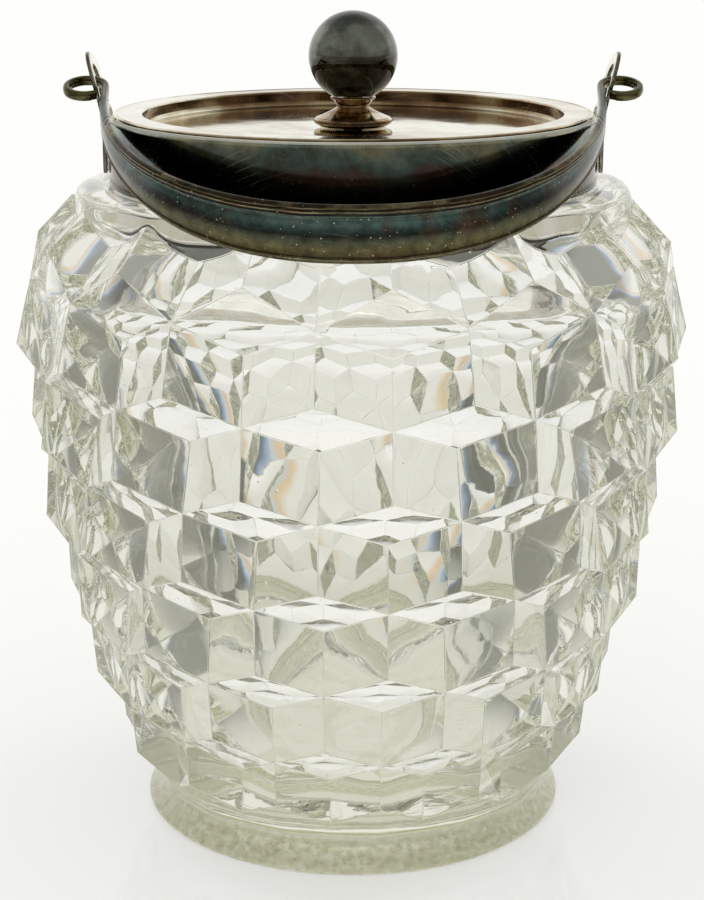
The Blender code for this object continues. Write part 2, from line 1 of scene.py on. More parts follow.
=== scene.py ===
# %% [markdown]
# This script dresses a glass biscuit barrel with a silver-plated mount. The
# solids that give it its sizes and make its joints come in first, as a fixed
# frame, and every piece made here takes its place from one of them. Nothing in
# the frame is moved: each piece stands in for one solid.

# %% Load the frame
import json
import math
from functools import partial

import bmesh
import bpy
from mathutils import Matrix, Vector

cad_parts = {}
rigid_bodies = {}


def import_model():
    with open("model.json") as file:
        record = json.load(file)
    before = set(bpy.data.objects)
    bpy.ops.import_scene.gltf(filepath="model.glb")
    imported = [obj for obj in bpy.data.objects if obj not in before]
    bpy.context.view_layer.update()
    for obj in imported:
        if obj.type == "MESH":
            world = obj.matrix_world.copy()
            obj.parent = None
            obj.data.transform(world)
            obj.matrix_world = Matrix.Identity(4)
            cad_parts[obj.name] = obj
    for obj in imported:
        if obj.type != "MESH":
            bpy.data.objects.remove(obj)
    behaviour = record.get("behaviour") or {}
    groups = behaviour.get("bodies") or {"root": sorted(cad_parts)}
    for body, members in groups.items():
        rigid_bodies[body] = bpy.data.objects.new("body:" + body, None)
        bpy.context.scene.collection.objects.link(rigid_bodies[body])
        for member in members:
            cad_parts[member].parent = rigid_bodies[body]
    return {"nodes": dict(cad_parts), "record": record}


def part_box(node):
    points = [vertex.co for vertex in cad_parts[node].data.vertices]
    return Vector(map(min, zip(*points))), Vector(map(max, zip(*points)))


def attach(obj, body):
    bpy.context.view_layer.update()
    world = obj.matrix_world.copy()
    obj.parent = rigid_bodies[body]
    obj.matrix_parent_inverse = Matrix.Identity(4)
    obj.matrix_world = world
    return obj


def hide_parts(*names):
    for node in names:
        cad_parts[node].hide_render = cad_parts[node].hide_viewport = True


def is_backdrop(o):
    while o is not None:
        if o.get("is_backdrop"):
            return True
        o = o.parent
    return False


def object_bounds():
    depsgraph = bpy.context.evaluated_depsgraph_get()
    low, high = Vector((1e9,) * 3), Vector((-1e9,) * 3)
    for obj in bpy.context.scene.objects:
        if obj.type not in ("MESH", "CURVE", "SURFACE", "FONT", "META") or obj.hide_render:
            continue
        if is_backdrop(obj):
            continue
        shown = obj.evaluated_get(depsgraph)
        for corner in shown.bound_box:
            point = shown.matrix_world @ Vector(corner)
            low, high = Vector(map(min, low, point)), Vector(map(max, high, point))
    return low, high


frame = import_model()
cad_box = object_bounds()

MM = 0.001

# %% [markdown]
# Work at the bench is always the same few moves: put everything else aside,
# open one piece, select some of its faces or edges by where they are, change
# them, and close it. Operators act on all that is selected, so the rest is let
# go of first.

# %% Bench moves
MERGE = 0.01 * MM


def only(piece):
    """Lets go of everything, then selects one piece and makes it active."""
    bpy.ops.object.select_all(action="DESELECT")
    piece.select_set(True)
    bpy.context.view_layer.objects.active = piece


def open_up(piece, action="DESELECT"):
    """Goes into edit mode on one piece, with nothing or all of it selected."""
    only(piece)
    bpy.ops.object.mode_set(mode="EDIT")
    bpy.ops.mesh.select_mode(type="VERT")
    bpy.ops.mesh.select_all(action=action)


def close_up():
    bpy.ops.object.mode_set(mode="OBJECT")


def pick(piece, kind, test):
    """In edit mode, selects the vertices, edges or faces that pass a test, and counts them."""
    bpy.ops.mesh.select_all(action="DESELECT")
    bpy.ops.mesh.select_mode(type=kind)
    shape = bmesh.from_edit_mesh(piece.data)
    shape.normal_update()
    parts = {"VERT": shape.verts, "EDGE": shape.edges, "FACE": shape.faces}[kind]
    found = [part for part in parts if test(part)]
    for part in found:
        part.select_set(True)
    shape.select_flush_mode()
    bmesh.update_edit_mesh(piece.data)
    return len(found)


def modify(piece, kind, **settings):
    """Adds a modifier with its settings, and applies it."""
    modifier = piece.modifiers.new(kind.title(), kind)
    for name, value in settings.items():
        setattr(modifier, name, value)
    only(piece)
    bpy.ops.object.modifier_apply(modifier=modifier.name)


def new_piece(primitive, name, **settings):
    """A new piece from one of Blender's primitives, its place applied."""
    bpy.ops.object.select_all(action="DESELECT")
    primitive(**settings)
    piece = bpy.context.object
    piece.name = name
    bpy.ops.object.transform_apply(location=True, rotation=True, scale=True)
    return piece


def join_triangles(skew):
    """Joins selected triangles that are about flat together, up to a skew in degrees."""
    bpy.ops.mesh.tris_convert_to_quads(face_threshold=math.radians(50), shape_threshold=math.radians(skew))


def radius_of(point):
    return math.hypot(point.x, point.y)


def bend_at(edge):
    """The angle between the two faces at an edge."""
    return edge.calc_face_angle(0.0)


def report(piece):
    """Prints a piece's size and how many triangles it has."""
    triangles = sum(len(face.vertices) - 2 for face in piece.data.polygons)
    size = " x ".join(f"{side / MM:.1f}" for side in piece.dimensions)
    print(f"{piece.name}: {triangles} triangles, {size} mm")


# %% [markdown]
# A piece can begin as a copy of its solid, which guarantees that it fits. The
# copy comes as loose triangles, so its points are merged first.

# %% Begin from a solid
def begin_from(node, name):
    """A new piece that is a merged copy of a solid's mesh, left closed."""
    piece = bpy.data.objects.new(name, frame["nodes"][node].data.copy())
    bpy.context.scene.collection.objects.link(piece)
    piece.data.materials.clear()
    only(piece)
    bpy.ops.mesh.customdata_custom_splitnormals_clear()
    open_up(piece, "SELECT")
    bpy.ops.mesh.remove_doubles(threshold=MERGE)
    bpy.ops.mesh.normals_make_consistent(inside=False)
    bpy.ops.mesh.mark_sharp(clear=True)
    close_up()
    return piece


# %% [markdown]
# Metalware like this is spun on a lathe over a former, or turned from rod. Here
# one point is pulled along half of the section, and that line is spun round the
# axis. Where a rounding is given, every edge left sharp is bevelled.

# %% Turn a section on the lathe
SPIN_STEPS = 144
WIDE_STEPS = 180               # for the widest pieces
SHARP = math.radians(28.0)


def turn(name, outline, steps=SPIN_STEPS, rounding=0.0, closed=True):
    """Spins an outline of (radius, height) points round Z; the last point joins the first if closed."""
    piece = new_piece(bpy.ops.mesh.primitive_plane_add, name, size=MM, location=(0, 0, 0))
    piece.data.name = name
    open_up(piece, "SELECT")
    bpy.ops.mesh.merge(type="CENTER")
    first_radius, first_height = outline[0]
    bpy.ops.transform.translate(value=(first_radius, 0, first_height))
    onwards = outline[1:] + outline[:1] if closed else outline[1:]
    for (radius, height), (next_radius, next_height) in zip(outline, onwards):
        step = (next_radius - radius, 0, next_height - height)
        bpy.ops.mesh.extrude_region_move(TRANSFORM_OT_translate={"value": step})
    bpy.ops.mesh.select_all(action="SELECT")
    bpy.ops.mesh.spin(steps=steps, angle=math.tau, center=(0, 0, 0), axis=(0, 0, 1))
    bpy.ops.mesh.select_all(action="SELECT")
    bpy.ops.mesh.remove_doubles(threshold=MERGE)
    bpy.ops.mesh.normals_make_consistent(inside=False)
    if rounding:
        pick(piece, "EDGE", lambda edge: bend_at(edge) > SHARP)
        bpy.ops.mesh.bevel(offset=rounding, segments=3, affect="EDGES")
    close_up()
    return piece


def sweep(middle, radius, start, end, steps):
    """Points of an arc in (radius, height), its angles in degrees from outwards, turning up."""
    angles = [math.radians(start + (end - start) * i / steps) for i in range(steps + 1)]
    return [(middle[0] + radius * math.cos(a), middle[1] + radius * math.sin(a)) for a in angles]


def smooth(piece, angle=40.0):
    """Shades a piece smooth, keeps edges sharper than the angle, and lets big faces set the gloss."""
    only(piece)
    bpy.ops.object.shade_smooth_by_angle(angle=math.radians(angle))
    modify(piece, "WEIGHTED_NORMAL", mode="FACE_AREA", keep_sharp=True, weight=90)
    report(piece)


# %% [markdown]
# The jar is clear glass pressed in an iron mould. Its pattern is seven rings of
# tumbling cubes, each cube two upright faces and a sloping lozenge. The copy of
# the solid has each corner in place, so only its facets are cleaned: the creases
# that cross them go, which leaves one face to a facet.

# %% Jar: one face to a facet
CREASE_LIMIT = math.radians(12.0)
FIRST_PEAKS = 137.0 * MM       # just above the highest peaks of the cubes
LAST_PEAKS = 20.0 * MM         # just above the lowest ones

jar = begin_from("glass_jar", "pressed_glass_jar")


def faces_out(face):
    """True where a face looks away from the axis."""
    middle = face.calc_center_median()
    return face.normal.x * middle.x + face.normal.y * middle.y > 0


def faces_away(edge):
    """True where both faces at an edge look away from the axis."""
    return all(faces_out(face) for face in edge.link_faces)


def is_facet(face):
    """True on the faces of the cubes, between the shoulder's scallops and the foot."""
    heights = [corner.co.z for corner in face.verts]
    return faces_out(face) and min(heights) < FIRST_PEAKS and max(heights) > LAST_PEAKS


open_up(jar)
pick(jar, "FACE", is_facet)
bpy.ops.mesh.dissolve_limited(angle_limit=CREASE_LIMIT)
facets = pick(jar, "FACE", is_facet)
bpy.ops.mesh.select_all(action="INVERT")
join_triangles(60)
close_up()
print("facets on the jar:", facets)

# %% [markdown]
# Between two cubes of the top ring, the shoulder ends in a curve like a hanging
# cloth. The solid has a V there, with one point half way down each side, and
# letting that point sag makes the curve.

# %% Jar: scallops under the shoulder
SCALLOP_POINT = 141.2 * MM     # height of the points half way down each side
SCALLOP_SAG = 1.3 * MM
open_up(jar)
sagging = pick(jar, "VERT", lambda v: abs(v.co.z - SCALLOP_POINT) < 0.3 * MM and radius_of(v.co) > 60 * MM)
bpy.ops.transform.translate(value=(0, 0, -SCALLOP_SAG))
close_up()
print("scallop points:", sagging)

# %% [markdown]
# Two subdivisions turn the coarse rings of the shoulder, the foot and the
# inside into smooth glass. The edges of the cubes are creased first, to stay.

# %% Jar: smooth glass
RIM_CREASE = 0.75

open_up(jar)
pick(jar, "EDGE", lambda edge: any(is_facet(face) for face in edge.link_faces))
bpy.ops.transform.edge_crease(value=1.0)
neck_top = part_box("glass_jar")[1].z


def on_rim(edge):
    """True on the level edges of the standing ring and of the neck's top."""
    heights = [corner.co.z for corner in edge.verts]
    radii = [radius_of(corner.co) for corner in edge.verts]
    level = max(heights) < MERGE or min(heights) > neck_top - MERGE
    return level and abs(radii[0] - radii[1]) < MERGE


pick(jar, "EDGE", on_rim)
bpy.ops.transform.edge_crease(value=RIM_CREASE)
close_up()
modify(jar, "SUBSURF", levels=2, render_levels=2, boundary_smooth="PRESERVE_CORNERS")
report(jar)

# %% [markdown]
# Old glass is never quite even. A slow ripple, stronger inside than outside,
# bends what is seen through the jar. Outside it mostly goes inwards, since
# facets sink as they cool.

# %% Jar: ripples
RIPPLE = 12.0 * MM
ZONES = {                      # which way it looks, between which heights, the ripple's strength and middle
    "inside": (-1, 16 * MM, 140 * MM, 0.50 * MM, 0.5),
    "outside": (1, 12 * MM, 142 * MM, 0.22 * MM, 0.9),
}

ripple = bpy.data.textures.new("glass_ripple", "CLOUDS")
ripple.noise_scale = RIPPLE
ripple.noise_depth = 1
for name, (way, low, high, _, _) in ZONES.items():
    jar.vertex_groups.new(name=name)
    open_up(jar)
    pick(jar, "VERT", lambda v: way * (v.normal.x * v.co.x + v.normal.y * v.co.y) > 0 and low < v.co.z < high)
    bpy.ops.object.vertex_group_assign()
    close_up()
for name, (_, _, _, strength, mid_level) in ZONES.items():
    modify(jar, "DISPLACE", texture=ripple, texture_coords="LOCAL", strength=strength, mid_level=mid_level,
           vertex_group=name)
jar.vertex_groups.clear()

# %% [markdown]
# The edges of the cubes stay a little proud of the sunken facets, as low round
# ridges. Each gets a narrow round bevel, and all of it but its borders is raised
# by a tenth of a millimetre. The flanks bend light further than the facets do,
# so an edge shows as a light line with a thin grey one on each side.

# %% Jar: edges of the cubes
EDGE_WIDTH = 0.44 * MM
EDGE_RISE = 0.12 * MM
EDGE_BEND = math.radians(13.0)
open_up(jar)


def is_cube_edge(edge):
    """True on the sharp edges of the pattern, and on the sides of its shoulder scallops."""
    middle = (edge.verts[0].co + edge.verts[1].co) / 2
    outer = radius_of(middle) > 40 * MM and 10 * MM < middle.z < 146 * MM
    return outer and bend_at(edge) > EDGE_BEND and faces_away(edge)


edges = pick(jar, "EDGE", is_cube_edge)
bpy.ops.mesh.bevel(offset=EDGE_WIDTH, segments=4, profile=0.5, affect="EDGES", clamp_overlap=True)
bpy.ops.mesh.select_less()
bpy.ops.transform.shrink_fatten(value=EDGE_RISE)
close_up()
print("edges of cubes:", edges)
smooth(jar, 60.0)

# %% [markdown]
# The collar stands in a bed of plaster round the jar's neck. The plaster is
# packed in wet and scraped off level, so it is a rough ring. It is turned as a
# section and given a fine grain by pushing its points in and out.

# %% Plaster ring
bed_low, bed_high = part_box("plaster_bed")
bed_outer = bed_high.x
BED_THICK = 1.4 * MM
BED_STEPS = 12
GRIT = 1.2 * MM
GRIT_RISE = 0.12 * MM
bed_inner = bed_outer - BED_THICK
bed_tall = bed_high.z - bed_low.z
plaster_ring = turn("plaster_ring", [
    (bed_inner, bed_high.z),
    (bed_outer, bed_high.z),
    *[(bed_outer, bed_high.z + (bed_low.z - bed_high.z) * i / BED_STEPS) for i in range(1, BED_STEPS)],
    (bed_outer, bed_low.z),
    (bed_inner, bed_low.z),
    *[(bed_inner, bed_low.z + bed_tall * i / BED_STEPS) for i in range(1, BED_STEPS)],
], rounding=0.12 * MM)
grit = bpy.data.textures.new("plaster_grit", "CLOUDS")
grit.noise_scale = GRIT
modify(plaster_ring, "DISPLACE", texture=grit, texture_coords="LOCAL", strength=GRIT_RISE, mid_level=0.9)
smooth(plaster_ring)

# %% [markdown]
# The collar's wall is spun from sheet. Its top turns inwards over the glass as a
# flat lip with a small round at the corner, and a shallow groove near the foot
# of the wall leaves a bead at the edge, which keeps thin sheet stiff.

# %% Collar
collar_low, collar_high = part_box("collar")
collar_outer = collar_high.x
COLLAR_SHEET = 0.8 * MM
LIP_BORE = 48.0 * MM
BEAD = 0.9 * MM
GROOVE = 0.22 * MM
CORNER = 0.6 * MM

collar_band = turn("collar_band", [
    (LIP_BORE, collar_high.z),
    *sweep((collar_outer - CORNER, collar_high.z - CORNER), CORNER, 90, 0, 5),
    (collar_outer, collar_low.z + BEAD + 2 * GROOVE),
    *sweep((collar_outer, collar_low.z + BEAD + GROOVE), GROOVE, 270, 180, 3)[1:],
    *sweep((collar_outer - BEAD / 2, collar_low.z + BEAD / 2), BEAD / 2, 60, -90, 7),
    (collar_outer - COLLAR_SHEET, collar_low.z),
    (collar_outer - COLLAR_SHEET, collar_high.z - COLLAR_SHEET),
    (LIP_BORE, collar_high.z - COLLAR_SHEET),
], steps=WIDE_STEPS)
smooth(collar_band)

# %% [markdown]
# Each ear is stamped from sheet, pierced for the handle and soldered to the
# collar. A file has broken its crisp outline, so its edges are bevelled and the
# plate is smoothed once.

# %% Ears
EAR_EDGE = 0.26 * MM


def make_ear(node, name):
    """An ear from its solid: edges broken, faces smoothed."""
    ear = begin_from(node, name)
    open_up(ear, "SELECT")
    join_triangles(60)
    broken = pick(ear, "EDGE", lambda edge: bend_at(edge) > math.radians(60))
    bpy.ops.mesh.bevel(offset=EAR_EDGE, segments=2, profile=0.5, affect="EDGES")
    close_up()
    modify(ear, "SUBSURF", levels=1, render_levels=1)
    print(name, "edges broken:", broken)
    smooth(ear)
    return ear


ears = [make_ear("left_ear", "left_ear_plate"), make_ear("right_ear", "right_ear_plate")]

# %% [markdown]
# The handle is one strip of metal, wide and reeded at the front and drawn down
# at each end to a wire, which is curled outwards through the ear. The copy is
# laid level about the hinge, so that its width stands upright. The edges across
# it are cut into narrow bands, and some bands are raised: two fine beads under
# the upper edge, one above the lower, and a slight swell between them.

# %% Handle: lay it level
hinge = Vector(frame["record"]["behaviour"]["joints"][0]["pos_m"])
strap = begin_from("bail_handle", "reeded_handle")


def front_tilt(piece):
    """How far the handle hangs below level, from the largest face at its front."""
    front = [face for face in piece.data.polygons if abs(face.center.x) < 4 * MM and face.normal.y < -0.5]
    widest = max(front, key=lambda face: face.area)
    return math.atan2(-widest.normal.z, -widest.normal.y)


tilt = front_tilt(strap)
level = Matrix.Translation(hinge) @ Matrix.Rotation(-tilt, 4, "X") @ Matrix.Translation(-hinge)
strap.data.transform(level)
print(f"handle laid level by {math.degrees(tilt):.1f} degrees")

# %% [markdown]
# Each curl is bent round until its end almost touches the strip again, so that
# the handle can't slip out of the ear. The solid's curl is more open, so its end
# face is drawn on round the middle of the curl in three steps.

# %% Handle: close the curls
CURL_RADIUS = 4.3 * MM
STRIP_SHEET = 1.7 * MM
CURL_MORE = math.radians(14.0)
CURL_MORE_STEPS = 3


def close_curl(side):
    """Draws the end of one curl on round its middle; side is -1 for the left one and 1 for the right."""
    outermost = max(strap.data.vertices, key=lambda v: v.co.x * side).co
    middle = Vector((side * (abs(outermost.x) - CURL_RADIUS - STRIP_SHEET / 2), outermost.y, hinge.z))
    open_up(strap)

    def is_end(face):
        spoke = face.calc_center_median() - middle
        turning = Vector((side * spoke.y, -side * spoke.x, 0)).normalized()
        at_curl = spoke.x * side > -0.6 * CURL_RADIUS and abs(spoke.length - CURL_RADIUS) < STRIP_SHEET / 2
        return at_curl and abs(face.normal.dot(turning)) > 0.95

    found = pick(strap, "FACE", is_end)
    for _ in range(CURL_MORE_STEPS):
        bpy.ops.mesh.extrude_region_move(TRANSFORM_OT_translate={"value": (0, 0, 0)})
        bpy.ops.transform.rotate(value=side * CURL_MORE / CURL_MORE_STEPS, orient_axis="Z",
                                 center_override=middle)
    close_up()
    return found


print("end faces drawn on:", close_curl(-1), close_curl(1))

# %% Handle: bands and beads
BANDS = 40
BEAD_RISE = 0.34 * MM
WIRE_REACH = 16.0 * MM         # nearer to the hinge than this, the strip is a plain wire
FULL_REACH = 34.0 * MM         # and from here on the beads have their full height
BEADS = {0.84: 0.055, 0.70: 0.055, -0.88: 0.07}    # place across the strip: half its width, as shares
SWELL_SHARE = 0.8              # of a bead's rise, in the middle of the strip
FIELD_TOP = 0.60
FIELD_BOTTOM = -0.76


def cell(point):
    """A point's place from above, to a tenth of a millimetre."""
    return (round(point.x / MM, 1), round(point.y / MM, 1))


def across(edge):
    """True on the upright edges of the strip's outer broad side."""
    start, end = [corner.co for corner in edge.verts]
    rise = abs(start.z - end.z)
    upright = rise > 1.0 * MM and radius_of(start - end) < 0.1 * rise
    return upright and start.y < -WIRE_REACH and faces_away(edge)


def bead_height(share):
    """How high the strip's face stands at a place across it, as a share of a bead's rise."""
    for place, half in BEADS.items():
        if abs(share - place) < half:
            return math.cos((share - place) / half * math.pi / 2)
    if FIELD_BOTTOM < share < FIELD_TOP:
        middle = (FIELD_TOP + FIELD_BOTTOM) / 2
        half = (FIELD_TOP - FIELD_BOTTOM) / 2
        return SWELL_SHARE * (1 - ((share - middle) / half) ** 2)
    return 0.0


open_up(strap, "SELECT")
join_triangles(90)
cut = pick(strap, "EDGE", across)
ends = {}
for edge in bmesh.from_edit_mesh(strap.data).edges:
    if edge.select:
        ends[cell(edge.verts[0].co)] = max(abs(corner.co.z - hinge.z) for corner in edge.verts)
bpy.ops.mesh.subdivide(number_cuts=BANDS - 1)
close_up()
print("edges cut across the strip:", cut)

# %% [markdown]
# The tarnish on the handle follows the strip, so it carries its own map: how far
# along the arch a point lies, and how far across the strip, from -1 at its lower
# edge to 1 at its upper one. Later steps carry the map along.

# %% Handle: map
stations = [(math.atan2(x, -y), half) for (x, y), half in ends.items()]


def half_width(point):
    """Half the strip's width at the station nearest to a point."""
    bearing = math.atan2(point.x, -point.y)
    return min(stations, key=lambda station: abs(station[0] - bearing))[1]


strip_map = strap.data.uv_layers.new(name="strip")
for face in strap.data.polygons:
    for corner in face.loop_indices:
        point = strap.data.vertices[strap.data.loops[corner].vertex_index].co
        along = math.atan2(point.x, -point.y) * radius_of(point)
        strip_map.data[corner].uv = (along, (point.z - hinge.z) / half_width(point))
print("stations along the strip:", len(stations))

# %% Handle: raise the beads, smooth, and hang it back
raised = strap.vertex_groups.new(name="raised")
for point in strap.data.vertices:
    place = cell(point.co)
    if place in ends:
        fade = min(max((-point.co.y - WIRE_REACH) / (FULL_REACH - WIRE_REACH), 0.0), 1.0)
        raised.add([point.index], fade * bead_height((point.co.z - hinge.z) / ends[place]), "REPLACE")
modify(strap, "DISPLACE", strength=BEAD_RISE, mid_level=0.0, vertex_group=raised.name)
modify(strap, "SUBSURF", levels=1, render_levels=1)
strap.data.transform(level.inverted())
smooth(strap, 50.0)

# %% [markdown]
# The lid is pressed from one disc: a flat rim with a beaded edge, and a sunk
# pan that drops inside the neck. Its section runs from the hole for the knob's
# stud across the floor, up the wall, over the rim to the bead, and back
# underneath at the thickness of the sheet.

# %% Lid cover
cover_low, cover_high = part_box("lid_cover")
LID_SHEET = 0.8 * MM
PAN_WALL = 46.7 * MM
STUD_HOLE = 2.2 * MM
PAN_ROUND = 1.3 * MM
LIP_ROUND = 0.5 * MM
EDGE_BEAD = 0.40 * MM
RIM_GROOVE = 0.16 * MM
floor_height = cover_low.z + LID_SHEET
cover_outer = cover_high.x
bead_middle = (cover_outer - EDGE_BEAD, cover_high.z - EDGE_BEAD)
rim_top = cover_high.z - RIM_GROOVE / 2

lid_cover = turn("pressed_lid", [
    (STUD_HOLE, floor_height),
    (PAN_WALL * 0.5, floor_height),
    *sweep((PAN_WALL - PAN_ROUND, floor_height + PAN_ROUND), PAN_ROUND, -90, 0, 6),
    *sweep((PAN_WALL + LIP_ROUND, rim_top - LIP_ROUND), LIP_ROUND, 180, 90, 5),
    (bead_middle[0] - EDGE_BEAD - 2 * RIM_GROOVE, rim_top),
    (bead_middle[0] - EDGE_BEAD - RIM_GROOVE, rim_top - RIM_GROOVE),
    *sweep(bead_middle, EDGE_BEAD, 150, -90, 12),
    (PAN_WALL + LID_SHEET + LIP_ROUND, cover_high.z - LID_SHEET),
    (PAN_WALL + LID_SHEET, cover_high.z - LID_SHEET - LIP_ROUND),
    (PAN_WALL + LID_SHEET, floor_height),
    (PAN_WALL - PAN_ROUND / 2, cover_low.z),
    (STUD_HOLE, cover_low.z),
], steps=WIDE_STEPS)
smooth(lid_cover)

# %% [markdown]
# Under the pan a narrow skirt keeps the lid central in the neck. Its lower edge
# is rolled inwards, so as not to scratch the glass.

# %% Lid skirt
skirt_low, skirt_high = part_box("lid_skirt")
SKIRT_SHEET = 0.8 * MM
ROLL = 0.7 * MM
roll_middle = (skirt_high.x - ROLL, skirt_low.z + ROLL)
lid_skirt = turn("rolled_skirt", [
    (skirt_high.x - SKIRT_SHEET, skirt_high.z),
    (skirt_high.x, skirt_high.z),
    *sweep(roll_middle, ROLL, 0, -225, 12),
    (skirt_high.x - SKIRT_SHEET, roll_middle[1] + ROLL),
], steps=WIDE_STEPS)
smooth(lid_skirt)

# %% [markdown]
# The knob's ball starts as a globe. It is cut off level where it sits on its
# stem, and the cut is drawn in to the stud's hole and up, so that it is closed.

# %% Knob ball
ball_low, ball_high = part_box("knob_ball")
BALL_STEPS = 96
BORE_HEIGHT = 6.3 * MM
SEAT_EDGE = 0.25 * MM
ball_radius = ball_high.x
ball_middle = ball_high.z - ball_radius

ball = new_piece(bpy.ops.mesh.primitive_uv_sphere_add, "knob_globe", segments=BALL_STEPS,
                 ring_count=BALL_STEPS // 2, radius=ball_radius, location=(0, 0, ball_middle))
open_up(ball, "SELECT")
bpy.ops.mesh.bisect(plane_co=(0, 0, ball_low.z), plane_no=(0, 0, 1), clear_inner=True, use_fill=True)
pick(ball, "FACE", lambda face: face.normal.z < -0.99 and face.calc_center_median().z < ball_low.z + MERGE)
seat_radius = math.sqrt(ball_radius ** 2 - (ball_middle - ball_low.z) ** 2)
bpy.ops.mesh.inset(thickness=SEAT_EDGE, depth=0)
bpy.ops.mesh.inset(thickness=seat_radius - STUD_HOLE - SEAT_EDGE, depth=0)
bpy.ops.mesh.extrude_region_move(TRANSFORM_OT_translate={"value": (0, 0, BORE_HEIGHT)})
close_up()
print(f"ball: {2 * ball_radius / MM:.1f} mm, on a seat {2 * seat_radius / MM:.1f} mm across")
smooth(ball, 35.0)

# %% [markdown]
# Below the ball, the stem is one turned piece: a bead under the ball, a narrow
# neck, a hollow flare, and a round-edged foot that stands on the lid.

# %% Knob foot
foot_low, foot_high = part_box("knob_foot")
FOOT_EDGE = 0.75 * MM
NECK_RADIUS = 3.6 * MM
FLARE_STEPS = 12
foot_radius = foot_high.x
foot_tall = foot_high.z - foot_low.z
neck_height = foot_low.z + foot_tall * 0.665
flare_start = (foot_radius - 0.55 * MM, foot_low.z + 1.95 * MM)
flare = []
for i in range(FLARE_STEPS + 1):
    turned = math.pi / 2 * i / FLARE_STEPS
    flare.append((
        NECK_RADIUS + (flare_start[0] - NECK_RADIUS) * (1 - math.sin(turned)) ** 1.35,
        flare_start[1] + (neck_height - flare_start[1]) * math.sin(turned),
    ))

knob_foot = turn("turned_knob_foot", [
    (STUD_HOLE, foot_low.z),
    (foot_radius - 1.4 * MM, foot_low.z),
    (foot_radius - 0.9 * MM, foot_low.z + 0.25 * MM),
    *sweep((foot_radius - FOOT_EDGE, foot_low.z + 1.15 * MM), FOOT_EDGE, -50, 75, 9),
    *flare,
    (seat_radius - 0.9 * MM, neck_height + 0.9 * MM),
    (seat_radius - 0.35 * MM, foot_high.z - 0.62 * MM),
    *sweep((seat_radius - 0.25 * MM, foot_high.z - 0.3 * MM), 0.3 * MM, -80, 90, 7),
    (STUD_HOLE, foot_high.z),
], steps=112)
smooth(knob_foot, 55.0)

# %% [markdown]
# A stud screwed into the ball comes down through the foot and the lid to a
# washer and a nut. Its thread is made as separate rings, which look the same at
# this size.

# %% Stud
stud_low, stud_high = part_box("knob_stud")
PITCH = 0.7 * MM
THREAD_DEPTH = 0.28 * MM
THREAD_TURNS = 9
THREAD_START = 0.2 * MM        # above the rod's lower end
STUD_CHAMFER = 0.3 * MM
stud_radius = stud_high.y
teeth = []
for tooth in range(1, THREAD_TURNS * 2):
    tooth_height = stud_low.z + (THREAD_TURNS * 2 - tooth) * PITCH / 2 + THREAD_START
    teeth.append((stud_radius - THREAD_DEPTH * (tooth % 2), tooth_height))

stud = turn("threaded_stud", [
    (0, stud_high.z),
    (stud_radius - STUD_CHAMFER, stud_high.z),
    (stud_radius, stud_high.z - STUD_CHAMFER),
    (stud_radius, stud_low.z + (THREAD_TURNS + 1) * PITCH),
    (stud_radius - THREAD_DEPTH, stud_low.z + (THREAD_TURNS + 0.6) * PITCH),
    *teeth,
    (stud_radius - THREAD_DEPTH, stud_low.z),
    (0, stud_low.z),
], steps=36, closed=False)
smooth(stud, 35.0)

# %% [markdown]
# The washer is a punched disc with rounded edges, and the nut a slice of hexagon
# bar. The nut starts as a six-sided cylinder, its corners are cut back with a
# bevel, and it gets its hole by joining an inset ring on one end to the other's.

# %% Washer
washer_low, washer_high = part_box("knob_washer")
washer_radius = washer_high.y
washer = turn("punched_washer", [
    (STUD_HOLE, washer_low.z),
    (washer_radius, washer_low.z),
    (washer_radius, washer_high.z),
    (STUD_HOLE, washer_high.z),
], steps=72, rounding=0.18 * MM)
smooth(washer)

# %% Nut
nut_low, nut_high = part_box("knob_nut")
HEX_SIDES = 6
NUT_CHAMFER = 0.35 * MM
NUT_DOME = 0.2 * MM
NUT_LAND = 0.75 * MM
nut = new_piece(bpy.ops.mesh.primitive_cylinder_add, "hexagon_nut", vertices=HEX_SIDES,
                radius=nut_high.y / math.cos(math.pi / HEX_SIDES),
                depth=nut_high.z - nut_low.z - 2 * NUT_DOME, location=(0, 0, (nut_high.z + nut_low.z) / 2))
open_up(nut, "SELECT")
bpy.ops.transform.rotate(value=math.pi / HEX_SIDES, orient_axis="Z", center_override=(0, 0, 0))
pick(nut, "EDGE", lambda edge: abs(edge.verts[0].co.z - edge.verts[1].co.z) > 1 * MM)
bpy.ops.mesh.bevel(offset=NUT_CHAMFER, segments=3, affect="EDGES")
pick(nut, "FACE", lambda face: abs(face.normal.z) > 0.99)
bpy.ops.mesh.inset(thickness=NUT_CHAMFER, depth=NUT_DOME, use_individual=True)
bpy.ops.mesh.inset(thickness=NUT_LAND, depth=0, use_individual=True)
bpy.ops.mesh.bridge_edge_loops()
close_up()
smooth(nut, 30.0)

# %% [markdown]
# Colours are written as they look on a screen. Blender mixes light and not
# screen values, so one function turns a hex code into linear values. Another
# adds a shader node: settings go to its properties, and each socket gets a value
# or another node, whose main output is plugged in. It is handed out as add(),
# already tied to the tree of one finish.

# %% Shader bench
RGBA = {"data_type": "RGBA"}
SOFT = {"interpolation_type": "SMOOTHSTEP"}


def colour(code):
    """A hex screen colour as linear red, green, blue and alpha."""
    parts = [int(code[i:i + 2], 16) / 255 for i in (1, 3, 5)]
    linear = [part / 12.92 if part <= 0.04045 else ((part + 0.055) / 1.055) ** 2.4 for part in parts]
    return (*linear, 1.0)


